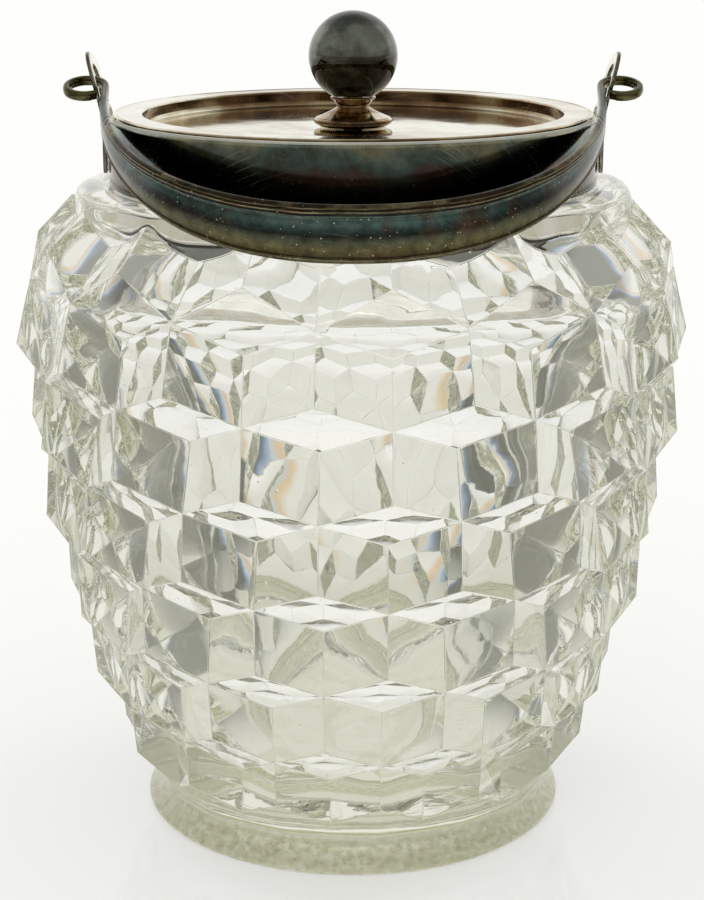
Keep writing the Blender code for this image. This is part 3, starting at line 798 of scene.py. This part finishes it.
def add_node(tree, kind, sockets=(), stops=(), **settings):
    """Adds a node with its settings; the sockets in use are given in order, or by name in a dict."""
    made = tree.nodes.new("ShaderNode" + kind)
    for name, value in settings.items():
        setattr(made, name, value)
    for i, (place, code) in enumerate(stops):
        if i >= 2:             # a ramp starts with two stops
            made.color_ramp.elements.new(1.0)
        made.color_ramp.elements[i].position = place
        made.color_ramp.elements[i].color = colour(code)
    if not isinstance(sockets, dict):
        in_use = [socket.identifier for socket in made.inputs if socket.enabled]
        sockets = dict(zip(in_use, sockets))
    for name, value in sockets.items():
        socket = next(socket for socket in made.inputs if name in (socket.identifier, socket.name))
        if isinstance(value, bpy.types.Node):
            value = next(output for output in value.outputs if output.enabled)
        if isinstance(value, bpy.types.NodeSocket):
            tree.links.new(value, socket)
        else:
            socket.default_value = colour(value) if isinstance(value, str) else value
    return made


def new_finish(name):
    """An empty material, and the function that adds nodes to it."""
    finish = bpy.data.materials.new(name)
    finish.use_nodes = True
    finish.node_tree.nodes.clear()
    return finish, partial(add_node, finish.node_tree)


# %% [markdown]
# The jar is soda-lime glass: almost colourless, bending light by 1.52. Iron in
# the sand gives it a faint olive cast, which only shows through a great
# thickness, so the cast is an absorption inside the glass. Small seeds of air
# show as specks. The ring that the jar stands on is worn, pitted and stained.

# %% Finish: pressed soda-lime glass
GLASS_IOR = 1.52
SEED_SPACING = 6.0 * MM
SEED_SHARE = 0.05              # of the spacing: a seed's radius
MOULD_GRAIN = 5.0 * MM
CAST = ("#dfe0c4", 5.5)        # the colour that glass takes up, and how densely, per metre
FOOT_WORN = (5.5 * MM, 9.5 * MM)     # wear ends between these heights
FOOT_RING = (37.0 * MM, 41.0 * MM)   # and begins between these radii
FOOT_ROUGHNESS = 0.012
FOOT_PITS = 1.5 * MM
FOOT_TINTS = [(0.35, "#959470"), (0.50, "#cac9aa"), (0.64, "#f3f2e4")]


def pressed_glass():
    """Clear glass with an olive cast in its depth, seeds, a faint mould grain and a worn foot."""
    finish, add = new_finish("pressed_soda_lime_glass")
    place = add("TexCoord").outputs["Object"]
    seeds = add("TexVoronoi", (place, 1 / SEED_SPACING))
    seed = add("MapRange", (seeds, 0.0, SEED_SHARE, 1.0, 0.0))
    grain = add("TexNoise", (place, 1 / MOULD_GRAIN, 2.0))
    ripple_bump = add("Bump", {"Strength": 0.35, "Distance": 0.05 * MM, "Height": grain})
    seed_bump = add("Bump", {"Strength": 0.6, "Distance": 0.25 * MM, "Height": seed, "Normal": ripple_bump},
                    invert=True)
    height = add("SeparateXYZ", [place]).outputs["Z"]
    low = add("MapRange", (height, *FOOT_WORN, 1.0, 0.0), **SOFT)
    level = add("VectorMath", (place, (1.0, 1.0, 0.0)), operation="MULTIPLY")
    reach = add("VectorMath", [level], operation="LENGTH")
    worn = add("MapRange", (reach, *FOOT_RING, 0.0, low), **SOFT)
    rubbed = add("Math", (worn, FOOT_ROUGHNESS), operation="MULTIPLY")
    pitting = add("TexNoise", (place, 1 / FOOT_PITS, 6.0, 0.7))
    speckled = add("ValToRGB", [pitting], stops=FOOT_TINTS)
    tint = add("Mix", (worn, "#ffffff", speckled), **RGBA)
    pit_bump = add("Bump", {"Strength": worn, "Distance": 0.30 * MM, "Height": pitting, "Normal": seed_bump})
    shader = add("BsdfPrincipled", {"IOR": GLASS_IOR, "Transmission Weight": 1.0, "Base Color": tint,
                                    "Roughness": rubbed, "Normal": pit_bump})
    add("OutputMaterial", (shader, add("VolumeAbsorption", CAST)))
    return finish


# %% [markdown]
# Silver tarnishes by growing a clear film of sulphide, whose colour runs from
# cream through browns to teal and a grey near black as it thickens. On the lid
# and the knob's foot it is thickest on upright faces, on the ears on those that
# look away from the axis, on the collar and the ball it goes by height, and on
# the handle it lies in stripes. On the ball the tones by height also paint a
# reflection of the room, and on the handle the stripes also paint reflections
# and highlights along the strip. So each finish has a place, from 0 to 1, that
# leads through its tones.

# %% Finish: where the film lies
def by_height(low, high):
    """A place that goes from 0 at one height to 1 at another."""
    def place(add, spot):
        return add("MapRange", (add("SeparateXYZ", [spot]).outputs["Z"], low, high))
    return place


def by_slope(flat, upright):
    """A place with one value on level faces and another on upright ones."""
    def place(add, spot):
        facing = add("NewGeometry").outputs["True Normal"]
        level_share = add("Math", [add("SeparateXYZ", [facing]).outputs["Z"]], operation="ABSOLUTE")
        return add("MapRange", (level_share, 0.0, 1.0, upright, flat))
    return place


def by_side(under, over):
    """A place from 0 on faces that look at the axis to 1 on faces that look away, paler below."""
    def place(add, spot):
        facing = add("NewGeometry").outputs["True Normal"]
        outwards = add("VectorMath", (spot, (1.0, 0.0, 0.0)), operation="MULTIPLY")
        outward = add("VectorMath", [outwards], operation="NORMALIZE")
        turned = add("VectorMath", (facing, outward), operation="DOT_PRODUCT")
        side = add("MapRange", (turned, -1.0, 0.6))
        depth = add("MapRange", (add("SeparateXYZ", [spot]).outputs["Z"], under, over, 0.6))
        return add("Math", (side, depth), operation="MULTIPLY")
    return place


WIRE_START = (62 * MM, 80 * MM)    # along the arch from its middle: where the strip becomes wire
WIRE_PLACE = 0.24                  # and the place that the wire has among the tones


def by_strip(add, spot):
    """A place from 0 at the strip's lower edge to 1 at its upper edge, and one value on the wire."""
    strip = add("UVMap", uv_map="strip")
    parts = add("SeparateXYZ", [strip])
    striped = add("MapRange", (parts.outputs["Y"], -1.0, 1.0))
    reach = add("Math", [parts.outputs["X"]], operation="ABSOLUTE")
    strip_share = add("MapRange", (reach, *WIRE_START, 1.0, 0.0))
    from_wire = add("Math", (striped, WIRE_PLACE), operation="SUBTRACT")
    return add("Math", (from_wire, strip_share, WIRE_PLACE), operation="MULTIPLY_ADD")


# %% [markdown]
# Clouds and streaks push that place about, so that the tones meet in ragged
# edges, and red-brown patches and a fine mottling lie over them. A cloth drags
# grit in arcs, which leaves fine curved scratches: rings round one centre, shown
# only where a slow noise is high. Dust and salt leave pale specks. Both are a
# little rougher than the rest.

# %% Finish: tarnished silver plate
WAVE_TURN = math.tau / 20      # a wave of scale 1 repeats after this length
NOISE = (0.3, 0.7)             # the range that most of a noise lies in
CLOUD = 17.0 * MM
STREAK = 2.6 * MM
STREAK_PULL = 0.22             # streaks are this much shorter across than along
SCRATCH_SPACING = 1.7 * MM
SCRATCH_CENTRE = (-6 * MM, -54 * MM, 122 * MM)
SCRATCH_PATCH = 11.0 * MM
SPECK_SPACING = 1.15 * MM
SPECK_SHARE = 0.19             # of the spacing: how large a speck can be
MOTTLE = 2.6 * MM
RUST_PATCH = 8.0 * MM
RUST = "#4b3423"
WAVINESS = 14.0 * MM
PALE = "#cfc9b4"


def silver_plate(name, place, tones, wander, roughness, scratched=0.5, specked=0.5, wavy=0.3, cloud=CLOUD,
                 mottled=0.2, rust=0.0, glow=0.0):
    """Silver plate with a film whose tones follow a place, and wander from it by a share."""
    finish, add = new_finish(name)
    spot = add("TexCoord").outputs["Object"]
    clouds = add("TexNoise", {"Vector": spot, "Scale": 1 / cloud, "Detail": 6.0, "Roughness": 0.6,
                              "Distortion": 0.6})
    pulled = add("Mapping", {"Vector": spot, "Scale": (STREAK_PULL, STREAK_PULL, 1.0)})
    streaks = add("TexNoise", (pulled, 1 / STREAK, 3.0))
    shift = add("MapRange", (clouds, *NOISE, -wander, wander))
    small_shift = add("MapRange", (streaks, *NOISE, -wander / 3, wander / 3))
    both = add("Math", (shift, small_shift), operation="ADD")
    where = add("Math", (both, place(add, spot)), operation="ADD")
    clean = add("ValToRGB", [where], stops=tones)
    browning = add("TexNoise", (spot, 1 / RUST_PATCH, 5.0, 0.65))
    brown = add("MapRange", (browning, 0.50, 0.66, 0.0, rust))
    browned = add("Mix", (brown, clean, RUST), **RGBA)
    mottling = add("TexNoise", (spot, 1 / MOTTLE, 8.0, 0.7))
    mottle = add("MapRange", (mottling, 0.35, 0.65, 1 - mottled, 1 + 0.6 * mottled))
    film = add("Mix", (1.0, browned, mottle), **RGBA, blend_type="MULTIPLY", clamp_result=True)

    far = add("Mapping", {"Vector": spot, "Location": [-side for side in SCRATCH_CENTRE]})
    arcs = add("TexWave", (far, WAVE_TURN / SCRATCH_SPACING, 3.0, 1.0, 0.3), wave_type="RINGS",
               rings_direction="SPHERICAL")
    line = add("MapRange", (arcs.outputs["Fac"], 0.965, 0.998))
    patches = add("TexNoise", (spot, 1 / SCRATCH_PATCH, 2.0))
    patch = add("MapRange", (patches, 0.52, 0.68, 0.0, scratched))
    scratch = add("Math", (line, patch), operation="MULTIPLY")
    pits = add("TexVoronoi", (spot, 1 / SPECK_SPACING))
    size = add("Math", (pits.outputs["Color"], SPECK_SHARE), operation="MULTIPLY")
    inside_speck = add("Math", (pits, size), operation="LESS_THAN")
    speck = add("Math", (inside_speck, specked), operation="MULTIPLY")
    marks = add("Math", (scratch, speck), operation="MAXIMUM")
    colour_out = add("Mix", (marks, film, PALE), **RGBA)

    dull = add("MapRange", (clouds, *NOISE, roughness * 0.7, roughness * 1.4))
    duller = add("Math", (marks, 0.3, dull), operation="MULTIPLY_ADD")
    waves = add("TexNoise", (spot, 1 / WAVINESS, 1.0))
    wave_bump = add("Bump", {"Strength": wavy, "Distance": 0.4 * MM, "Height": waves})
    mark_bump = add("Bump", {"Strength": 0.3, "Distance": 0.02 * MM, "Height": marks, "Normal": wave_bump},
                    invert=True)
    shader = add("BsdfPrincipled", {"Metallic": 1.0, "Emission Strength": glow, "Base Color": colour_out,
                                    "Emission Color": colour_out, "Roughness": duller, "Normal": mark_bump})
    add("OutputMaterial", [shader])
    return finish


# %% [markdown]
# These are the tones of each piece, thin film to thick or low to high. The
# ball's tones, low to high, are partly a painted reflection of the room: dark
# below, a light band above the middle and a darker top. The handle has the most:
# pale edges and beads, partly worn and partly painted highlights, olive brown
# below, a dark line along the middle that is a painted reflection of the dim
# room, and teal above it, partly tarnish and partly painted reflection.

# %% Finish: tones
LID_TONES = [(0.00, "#f3f0e6"), (0.34, "#e3decb"), (0.50, "#b9a98a"), (0.66, "#8a6d4f"), (0.84, "#5c4738"),
             (1.00, "#3a3c3c")]
SATIN_TONES = [(0.00, "#f7f7f3"), (0.50, "#e4e2da"), (1.00, "#bdb9ab")]
COLLAR_TONES = [(0.00, "#37322b"), (0.22, "#50443b"), (0.42, "#5f4f47"), (0.56, "#57534f"), (0.70, "#596c69"),
                (0.86, "#7a877d"), (1.00, "#97967f")]
# Painted reflection: low to high, the ball's tones draw the room reflected in it over its tarnish, dark
# below, light just above the middle and darker at the top.
BALL_TONES_AND_PAINTED_REFLECTION = [(0.00, "#23221d"), (0.26, "#37342d"), (0.42, "#4b4840"), (0.52, "#6d6f66"), (0.64, "#81877e"),
              (0.76, "#7a7e76"), (0.88, "#555a57"), (1.00, "#464b4a")]
EAR_TONES = [(0.00, "#f7f5ea"), (0.25, "#dedbc9"), (0.45, "#8b897b"), (0.62, "#68665b"), (1.00, "#55534a")]
# Painted reflection and highlight: the dark line at the middle and the teal above it stand for the dim room
# reflected in the strip, and the pale stops at the beads and edges are partly wear, partly painted highlight.
STRIP_TONES_AND_PAINTED_REFLECTION = [(0.00, "#5e5946"), (0.05, "#8a8268"), (0.09, "#403a26"), (0.24, "#5c583c"), (0.38, "#484b3c"),
               (0.50, "#222520"), (0.60, "#2e3b38"), (0.70, "#465854"), (0.82, "#46554f"), (0.85, "#66736a"),
               (0.87, "#2b312d"), (0.90, "#2a261c"), (0.92, "#958b6e"), (0.94, "#2a261c"), (0.965, "#2f2a1f"),
               (0.985, "#857c60"), (1.00, "#2f2b20")]

# %% [markdown]
# The stud, washer and nut are plain turned brass, never polished since, with fine
# rings from the lathe and a brown bloom.

# %% Finish: turned brass
BRASS_TONES = [(0.3, "#8c6a38"), (0.62, "#d0a560")]
BLOOM = 2.5 * MM
LATHE_RINGS = 0.4 * MM


def turned_brass():
    """Dull brass with lathe rings and brown patches."""
    finish, add = new_finish("dull_turned_brass")
    place = add("TexCoord").outputs["Object"]
    bloom = add("TexNoise", (place, 1 / BLOOM, 4.0))
    tone = add("ValToRGB", [bloom], stops=BRASS_TONES)
    rings = add("TexWave", (place, WAVE_TURN / LATHE_RINGS, 0.5), wave_type="RINGS", rings_direction="Z")
    bump = add("Bump", {"Strength": 0.15, "Distance": 0.02 * MM, "Height": rings.outputs["Fac"]})
    dull = add("MapRange", (bloom, 0.0, 1.0, 0.45, 0.28))
    shader = add("BsdfPrincipled", {"Metallic": 1.0, "Base Color": tone, "Roughness": dull, "Normal": bump})
    add("OutputMaterial", [shader])
    return finish


# %% [markdown]
# Plaster of Paris dries chalky and off-white, with small pores, and takes up a
# little brown from the metal beside it. A lamp's light doesn't find its way
# through bent glass here, so the plaster and the lid's satin inside have a faint
# glow that stands in for it.

# %% Finish: plaster of Paris
GLASSED_GLOW = 0.40
PLASTER_TONES = [(0.35, "#e4dcc6"), (0.6, "#f7f4ec")]
STAIN = 9 * MM
PORE_SPACING = 0.9 * MM


def plaster_of_paris():
    """Chalky plaster with pores and a faint stain."""
    finish, add = new_finish("plaster_of_paris")
    place = add("TexCoord").outputs["Object"]
    stain = add("TexNoise", (place, 1 / STAIN, 5.0))
    tone = add("ValToRGB", [stain], stops=PLASTER_TONES)
    pores = add("TexVoronoi", (place, 1 / PORE_SPACING))
    pit = add("MapRange", (pores, 0.0, 0.3))
    bump = add("Bump", {"Strength": 0.6, "Distance": 0.15 * MM, "Height": pit})
    shader = add("BsdfPrincipled", {"Roughness": 0.9, "Emission Strength": GLASSED_GLOW, "Base Color": tone,
                                    "Emission Color": tone, "Normal": bump})
    add("OutputMaterial", [shader])
    return finish


# %% [markdown]
# Each piece gets its finish, rides on the body that it moves with, and takes the
# place of its solid. The lid has been wiped most often, so its film is thin. The
# lid's underside and its skirt were never polished, so they are satin.

# %% Dress the frame
brass = turned_brass()
ears_height = (hinge.z - 14 * MM, hinge.z - 6 * MM)
plates = {
    "lid": silver_plate("lightly_tarnished_silver_plate", by_slope(0.38, 0.66), LID_TONES, 0.26, 0.07,
                        scratched=0.2, specked=0.1, cloud=32 * MM, mottled=0.10, rust=0.15),
    "collar": silver_plate("tarnished_silver_plate_collar", by_height(collar_low.z, collar_high.z),
                           COLLAR_TONES, 0.28, 0.11, scratched=0.45, specked=0.35, rust=0.45),
    # The handle's stripes hold painted reflections and highlights along the strip.
    "strip": silver_plate("tarnished_silver_plate_strip_and_painted_reflection", by_strip, STRIP_TONES_AND_PAINTED_REFLECTION, 0.02, 0.2,
                          scratched=0.07, specked=0.6, mottled=0.45, rust=0.6),
    "ears": silver_plate("tarnished_silver_plate_ears", by_side(*ears_height), EAR_TONES, 0.12, 0.2),
    # The ball's tones by height hold a painted reflection of the room.
    "ball": silver_plate("tarnished_silver_plate_ball_and_painted_reflection", by_height(ball_low.z, ball_high.z), BALL_TONES_AND_PAINTED_REFLECTION,
                         0.14, 0.05, scratched=0.15, specked=0.1, cloud=9 * MM, wavy=0.1, rust=0.3),
    "inside": silver_plate("satin_silver_plate", by_slope(0.10, 0.06), SATIN_TONES, 0.12, 0.42,
                           scratched=0.3, specked=0.1, mottled=0.05, glow=GLASSED_GLOW),
    "foot": silver_plate("rubbed_silver_plate", by_slope(0.52, 0.84), LID_TONES, 0.3, 0.08,
                         scratched=0.1, specked=0.1, cloud=6 * MM, wavy=0.1),
}
outfit = [
    (jar, "glass_jar", "root", "glass", pressed_glass()),
    (plaster_ring, "plaster_bed", "root", "plaster", plaster_of_paris()),
    (collar_band, "collar", "root", "silver_plate", plates["collar"]),
    (ears[0], "left_ear", "root", "silver_plate", plates["ears"]),
    (ears[1], "right_ear", "root", "silver_plate", plates["ears"]),
    (strap, "bail_handle", "bail", "silver_plate", plates["strip"]),
    (lid_cover, "lid_cover", "lid", "silver_plate", plates["lid"]),
    (lid_skirt, "lid_skirt", "lid", "silver_plate", plates["inside"]),
    (ball, "knob_ball", "lid", "silver_plate", plates["ball"]),
    (knob_foot, "knob_foot", "lid", "silver_plate", plates["foot"]),
    (stud, "knob_stud", "lid", "brass", brass),
    (washer, "knob_washer", "lid", "brass", brass),
    (nut, "knob_nut", "lid", "brass", brass),
]
for piece, node, body, slot, finish in outfit:
    piece.data.materials.clear()
    piece.data.materials.append(finish)
    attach(piece, body)
    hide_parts(node)
lid_cover.data.materials.append(plates["inside"])
underside = [face for face in lid_cover.data.polygons if face.normal.z < -0.5]
for face in underside:
    face.material_index = 1
print("pieces dressed:", len(outfit), "with", len(underside), "faces under the lid left satin")

# %% [markdown]
# Glass and polished metal show the room. The barrel stands on a white sheet that
# runs up behind it, in a grey room that is dimmest at the sides, and through the
# jar that difference draws the cubes. Glass bends blue light more than red, so
# the sheet's edge gets a blue and an orange fringe. Light that has also been
# reflected comes from a wider part of the room, so it is more even. One rule
# gives this colour by bearing, for the room and for the floor.

# %% Room: what lies in each direction
WHITE = "#fefefb"
SIDE_GREY = "#6d6e67"
FRONT_GREY = "#bfc0b8"
FRONT_EDGE = (-0.90, -0.55)    # cosine of the bearing from the back: front grey below, side grey above
SHEET_EDGE = [(0.58, SIDE_GREY), (0.63, "#8299b8"), (0.68, "#d8e5f4"), (0.73, "#f4d8b0"), (0.78, WHITE)]
BOUNCED = "#dadad2"
BOUNCED_SHARE = 0.34


def around(add, vector):
    """The colour that glass sees at a bearing: white behind, grey at the sides, pale grey in front."""
    ray = add("LightPath")
    level = add("VectorMath", (vector, (1.0, 1.0, 0.0)), operation="MULTIPLY")
    bearing = add("VectorMath", [level], operation="NORMALIZE")
    sides = add("SeparateXYZ", [bearing])
    sheet = add("ValToRGB", [sides.outputs["Y"]], stops=SHEET_EDGE)
    beside = add("MapRange", (sides.outputs["Y"], *FRONT_EDGE), **SOFT)
    seen = add("Mix", (beside, FRONT_GREY, sheet), **RGBA)
    depth = add("Math", (ray.outputs["Diffuse Depth"], ray.outputs["Glossy Depth"]), operation="MAXIMUM")
    bounced = add("MapRange", (depth, 0.0, 1.0, 0.0, BOUNCED_SHARE))
    return add("Mix", (bounced, seen, BOUNCED), **RGBA)


# %% [markdown]
# The camera sees the world as plain white, reflections see the white backdrop
# and the room in front of it, lighter above than below, and refractions see the
# rule above, darker overhead, where the ceiling is. Plain light is even.

# %% Room: the world
ROOM_ABOVE = "#b9b8b0"
ROOM_BELOW = "#6a665c"
BACKDROP_EDGE = (0.20, 0.50)
BACKDROP_TOP = (0.62, 0.85)
CEILING = (0.50, 0.80)
CEILING_SHARE = 0.45
HORIZON = (-0.03, 0.03)
EVEN_LIGHT = "#e9e9e6"
SEEN_WHITE = "#fefefc"


def make_room():
    """The world: what the camera, reflections, refractions and plain light each see."""
    world = bpy.data.worlds.new("room")
    bpy.context.scene.world = world
    world.use_nodes = True
    world.node_tree.nodes.clear()
    add = partial(add_node, world.node_tree)
    toward = add("TexCoord").outputs["Generated"]
    parts = add("SeparateXYZ", [toward])

    behind = add("MapRange", (parts.outputs["Y"], *BACKDROP_EDGE), **SOFT)
    under_top = add("MapRange", (parts.outputs["Z"], *BACKDROP_TOP, 1.0, 0.0), **SOFT)
    backdrop = add("Math", (behind, under_top), operation="MULTIPLY")
    up = add("MapRange", (parts.outputs["Z"], *HORIZON))
    front = add("Mix", (up, ROOM_BELOW, ROOM_ABOVE), **RGBA)
    mirrored = add("Mix", (backdrop, front, WHITE), **RGBA)

    ceiling = add("MapRange", (parts.outputs["Z"], *CEILING, 1.0, CEILING_SHARE), **SOFT)
    through = add("Mix", (1.0, around(add, toward), ceiling), **RGBA, blend_type="MULTIPLY")

    ray = add("LightPath")
    plain = add("Mix", (ray.outputs["Is Camera Ray"], EVEN_LIGHT, SEEN_WHITE), **RGBA)
    with_gloss = add("Mix", (ray.outputs["Is Glossy Ray"], plain, mirrored), **RGBA)
    with_glass = add("Mix", (ray.outputs["Is Transmission Ray"], with_gloss, through), **RGBA)
    light = add("Background", (with_glass, 1.0))
    add("OutputWorld", [light])


make_room()

# %% [markdown]
# The floor is one wide disc. Near the barrel it is a glossy white board that
# takes the shadow and a faint reflection. Further away the camera sees it pass
# into the white of the backdrop. Reflections find it white near the barrel and
# dim past the edge of the table in front, and refractions see it by the same
# rule as the room, with a painted shadow of the barrel that greys it in rings
# round the barrel.

# %% Floor
FLOOR_RADIUS = 9.0
FLOOR_DROP = 0.05 * MM
TABLE_EDGE = (0.26, 0.42)
TABLE_DIM = "#97948a"
HAZE = (0.10, 0.75)            # how far away the floor begins to be backdrop, and is it fully
HAZE_NEAR = 0.48               # how much of it is backdrop beside the barrel
CENTRE = (0.05, 0.12)
BOARD = {"Base Color": "#f6f7f4", "Specular IOR Level": 1.0}
BOARD_GRAIN = 30 * MM
BOARD_ROUGHNESS = (0.01, 0.025)
# Painted shadow: grey rings round the barrel that refractions see on the floor, darkest under the barrel.
RINGS = [(0.03, "#d3d4c4"), (0.07, "#dedfd4"), (0.13, "#ebebe4"), (0.30, "#e6e6df"), (0.60, "#f3f3ef"),
         (1.00, "#fefefc")]


def make_floor():
    """The floor that the barrel stands on."""
    floor = new_piece(bpy.ops.mesh.primitive_circle_add, "white_floor", vertices=128, radius=FLOOR_RADIUS,
                      fill_type="NGON", location=(0, 0, -FLOOR_DROP))
    finish, add = new_finish("satin_white_board")
    place = add("TexCoord").outputs["Object"]
    distance = add("VectorMath", [place], operation="LENGTH")
    ray = add("LightPath")

    grain = add("TexNoise", (place, 1 / BOARD_GRAIN, 3.0))
    gloss = add("MapRange", (grain, 0.0, 1.0, *BOARD_ROUGHNESS))
    board = add("BsdfPrincipled", {**BOARD, "Roughness": gloss})
    haze = add("MapRange", (distance, *HAZE, HAZE_NEAR), **SOFT)
    backdrop = add("Emission", [SEEN_WHITE])
    direct = add("MixShader", (haze, board, backdrop))

    past_edge = add("MapRange", (distance, *TABLE_EDGE), **SOFT)
    split = add("SeparateXYZ", [place])
    behind = add("MapRange", (split.outputs["Y"], 0.0, TABLE_EDGE[0], 1.0, 0.0), **SOFT)
    dark = add("Math", (past_edge, behind), operation="MULTIPLY")
    table = add("Mix", (dark, WHITE, TABLE_DIM), **RGBA)
    near = add("MapRange", (distance, *CENTRE, 1.0, 0.0), **SOFT)
    by_bearing = add("Mix", (near, around(add, place), WHITE), **RGBA)
    # Painted shadow of the barrel, in rings, on the floor that refractions see.
    rings = add("ValToRGB", [distance], stops=RINGS)
    below = add("Mix", (1.0, by_bearing, rings), **RGBA, blend_type="MULTIPLY")
    bent = add("Mix", (ray.outputs["Is Transmission Ray"], table, below), **RGBA)
    indirect = add("Emission", (bent, 1.0))
    shown = add("Math", (ray.outputs["Is Glossy Ray"], ray.outputs["Is Transmission Ray"]),
                operation="MAXIMUM")
    both = add("MixShader", (shown, direct, indirect))
    add("OutputMaterial", [both])
    floor.data.materials.append(finish)
    floor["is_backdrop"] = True


make_floor()

# %% [markdown]
# Two broad lamps stand behind the barrel, left and right, and a weak one above
# the camera. They are large, so shadows stay soft. Metal and glass show the room
# instead of the lamps, as they do in a light tent.

# %% Lamps
BARREL_MIDDLE = Vector((0, 0, 0.09))


def make_lamp(name, place, width, power):
    """A square soft lamp that points at the middle of the barrel."""
    lamp = bpy.data.lights.new(name, "AREA")
    lamp.size = width
    lamp.energy = power
    stand = bpy.data.objects.new(name, lamp)
    bpy.context.scene.collection.objects.link(stand)
    stand.location = place
    toward = BARREL_MIDDLE - Vector(place)
    stand.rotation_euler = toward.to_track_quat("-Z", "Y").to_euler()
    stand.visible_glossy = False
    stand.visible_transmission = False


make_lamp("lamp_back_left", (-0.75, 0.65, 0.75), 0.5, 2.4)
make_lamp("lamp_back_right", (0.85, 0.55, 0.70), 0.5, 2.0)
make_lamp("lamp_front", (-0.25, -0.9, 0.9), 0.4, 1.0)

# %% [markdown]
# The camera stands where the photograph was taken: a little above the lid,
# looking down by fifteen degrees, with a long lens.

# %% Camera
CAMERA_PLACE = (-0.25 * MM, -467.78 * MM, 212.4 * MM)
CAMERA_DIP = math.radians(15.316)
LENS = 83.36                   # in millimetres, on a sensor 36 mm along its longer side
camera = bpy.data.cameras.new("camera")
camera.lens = LENS
camera.sensor_width = 36.0
camera.sensor_fit = "AUTO"
camera.clip_start = 10 * MM
stand = bpy.data.objects.new("camera", camera)
stand.location = CAMERA_PLACE
stand.rotation_euler = (math.pi / 2 - CAMERA_DIP, 0, 0)
bpy.context.scene.collection.objects.link(stand)
bpy.context.scene.camera = stand
bpy.context.scene.view_settings.view_transform = "Standard"

# %% [markdown]
# A ray that enters pressed glass bounces about inside it many times. Where the
# renderer gives up too early the glass turns black, so it may bounce more often
# than usual.

# %% Light paths
BOUNCES = 36
paths = bpy.context.scene.cycles
paths.max_bounces = BOUNCES
paths.transmission_bounces = BOUNCES
paths.glossy_bounces = BOUNCES

# %% Sizes, for comparing with the frame
visual_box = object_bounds()
for name, box in (("frame", cad_box), ("dressed", visual_box)):
    print(name, [round(value / MM, 2) for corner in box for value in corner])
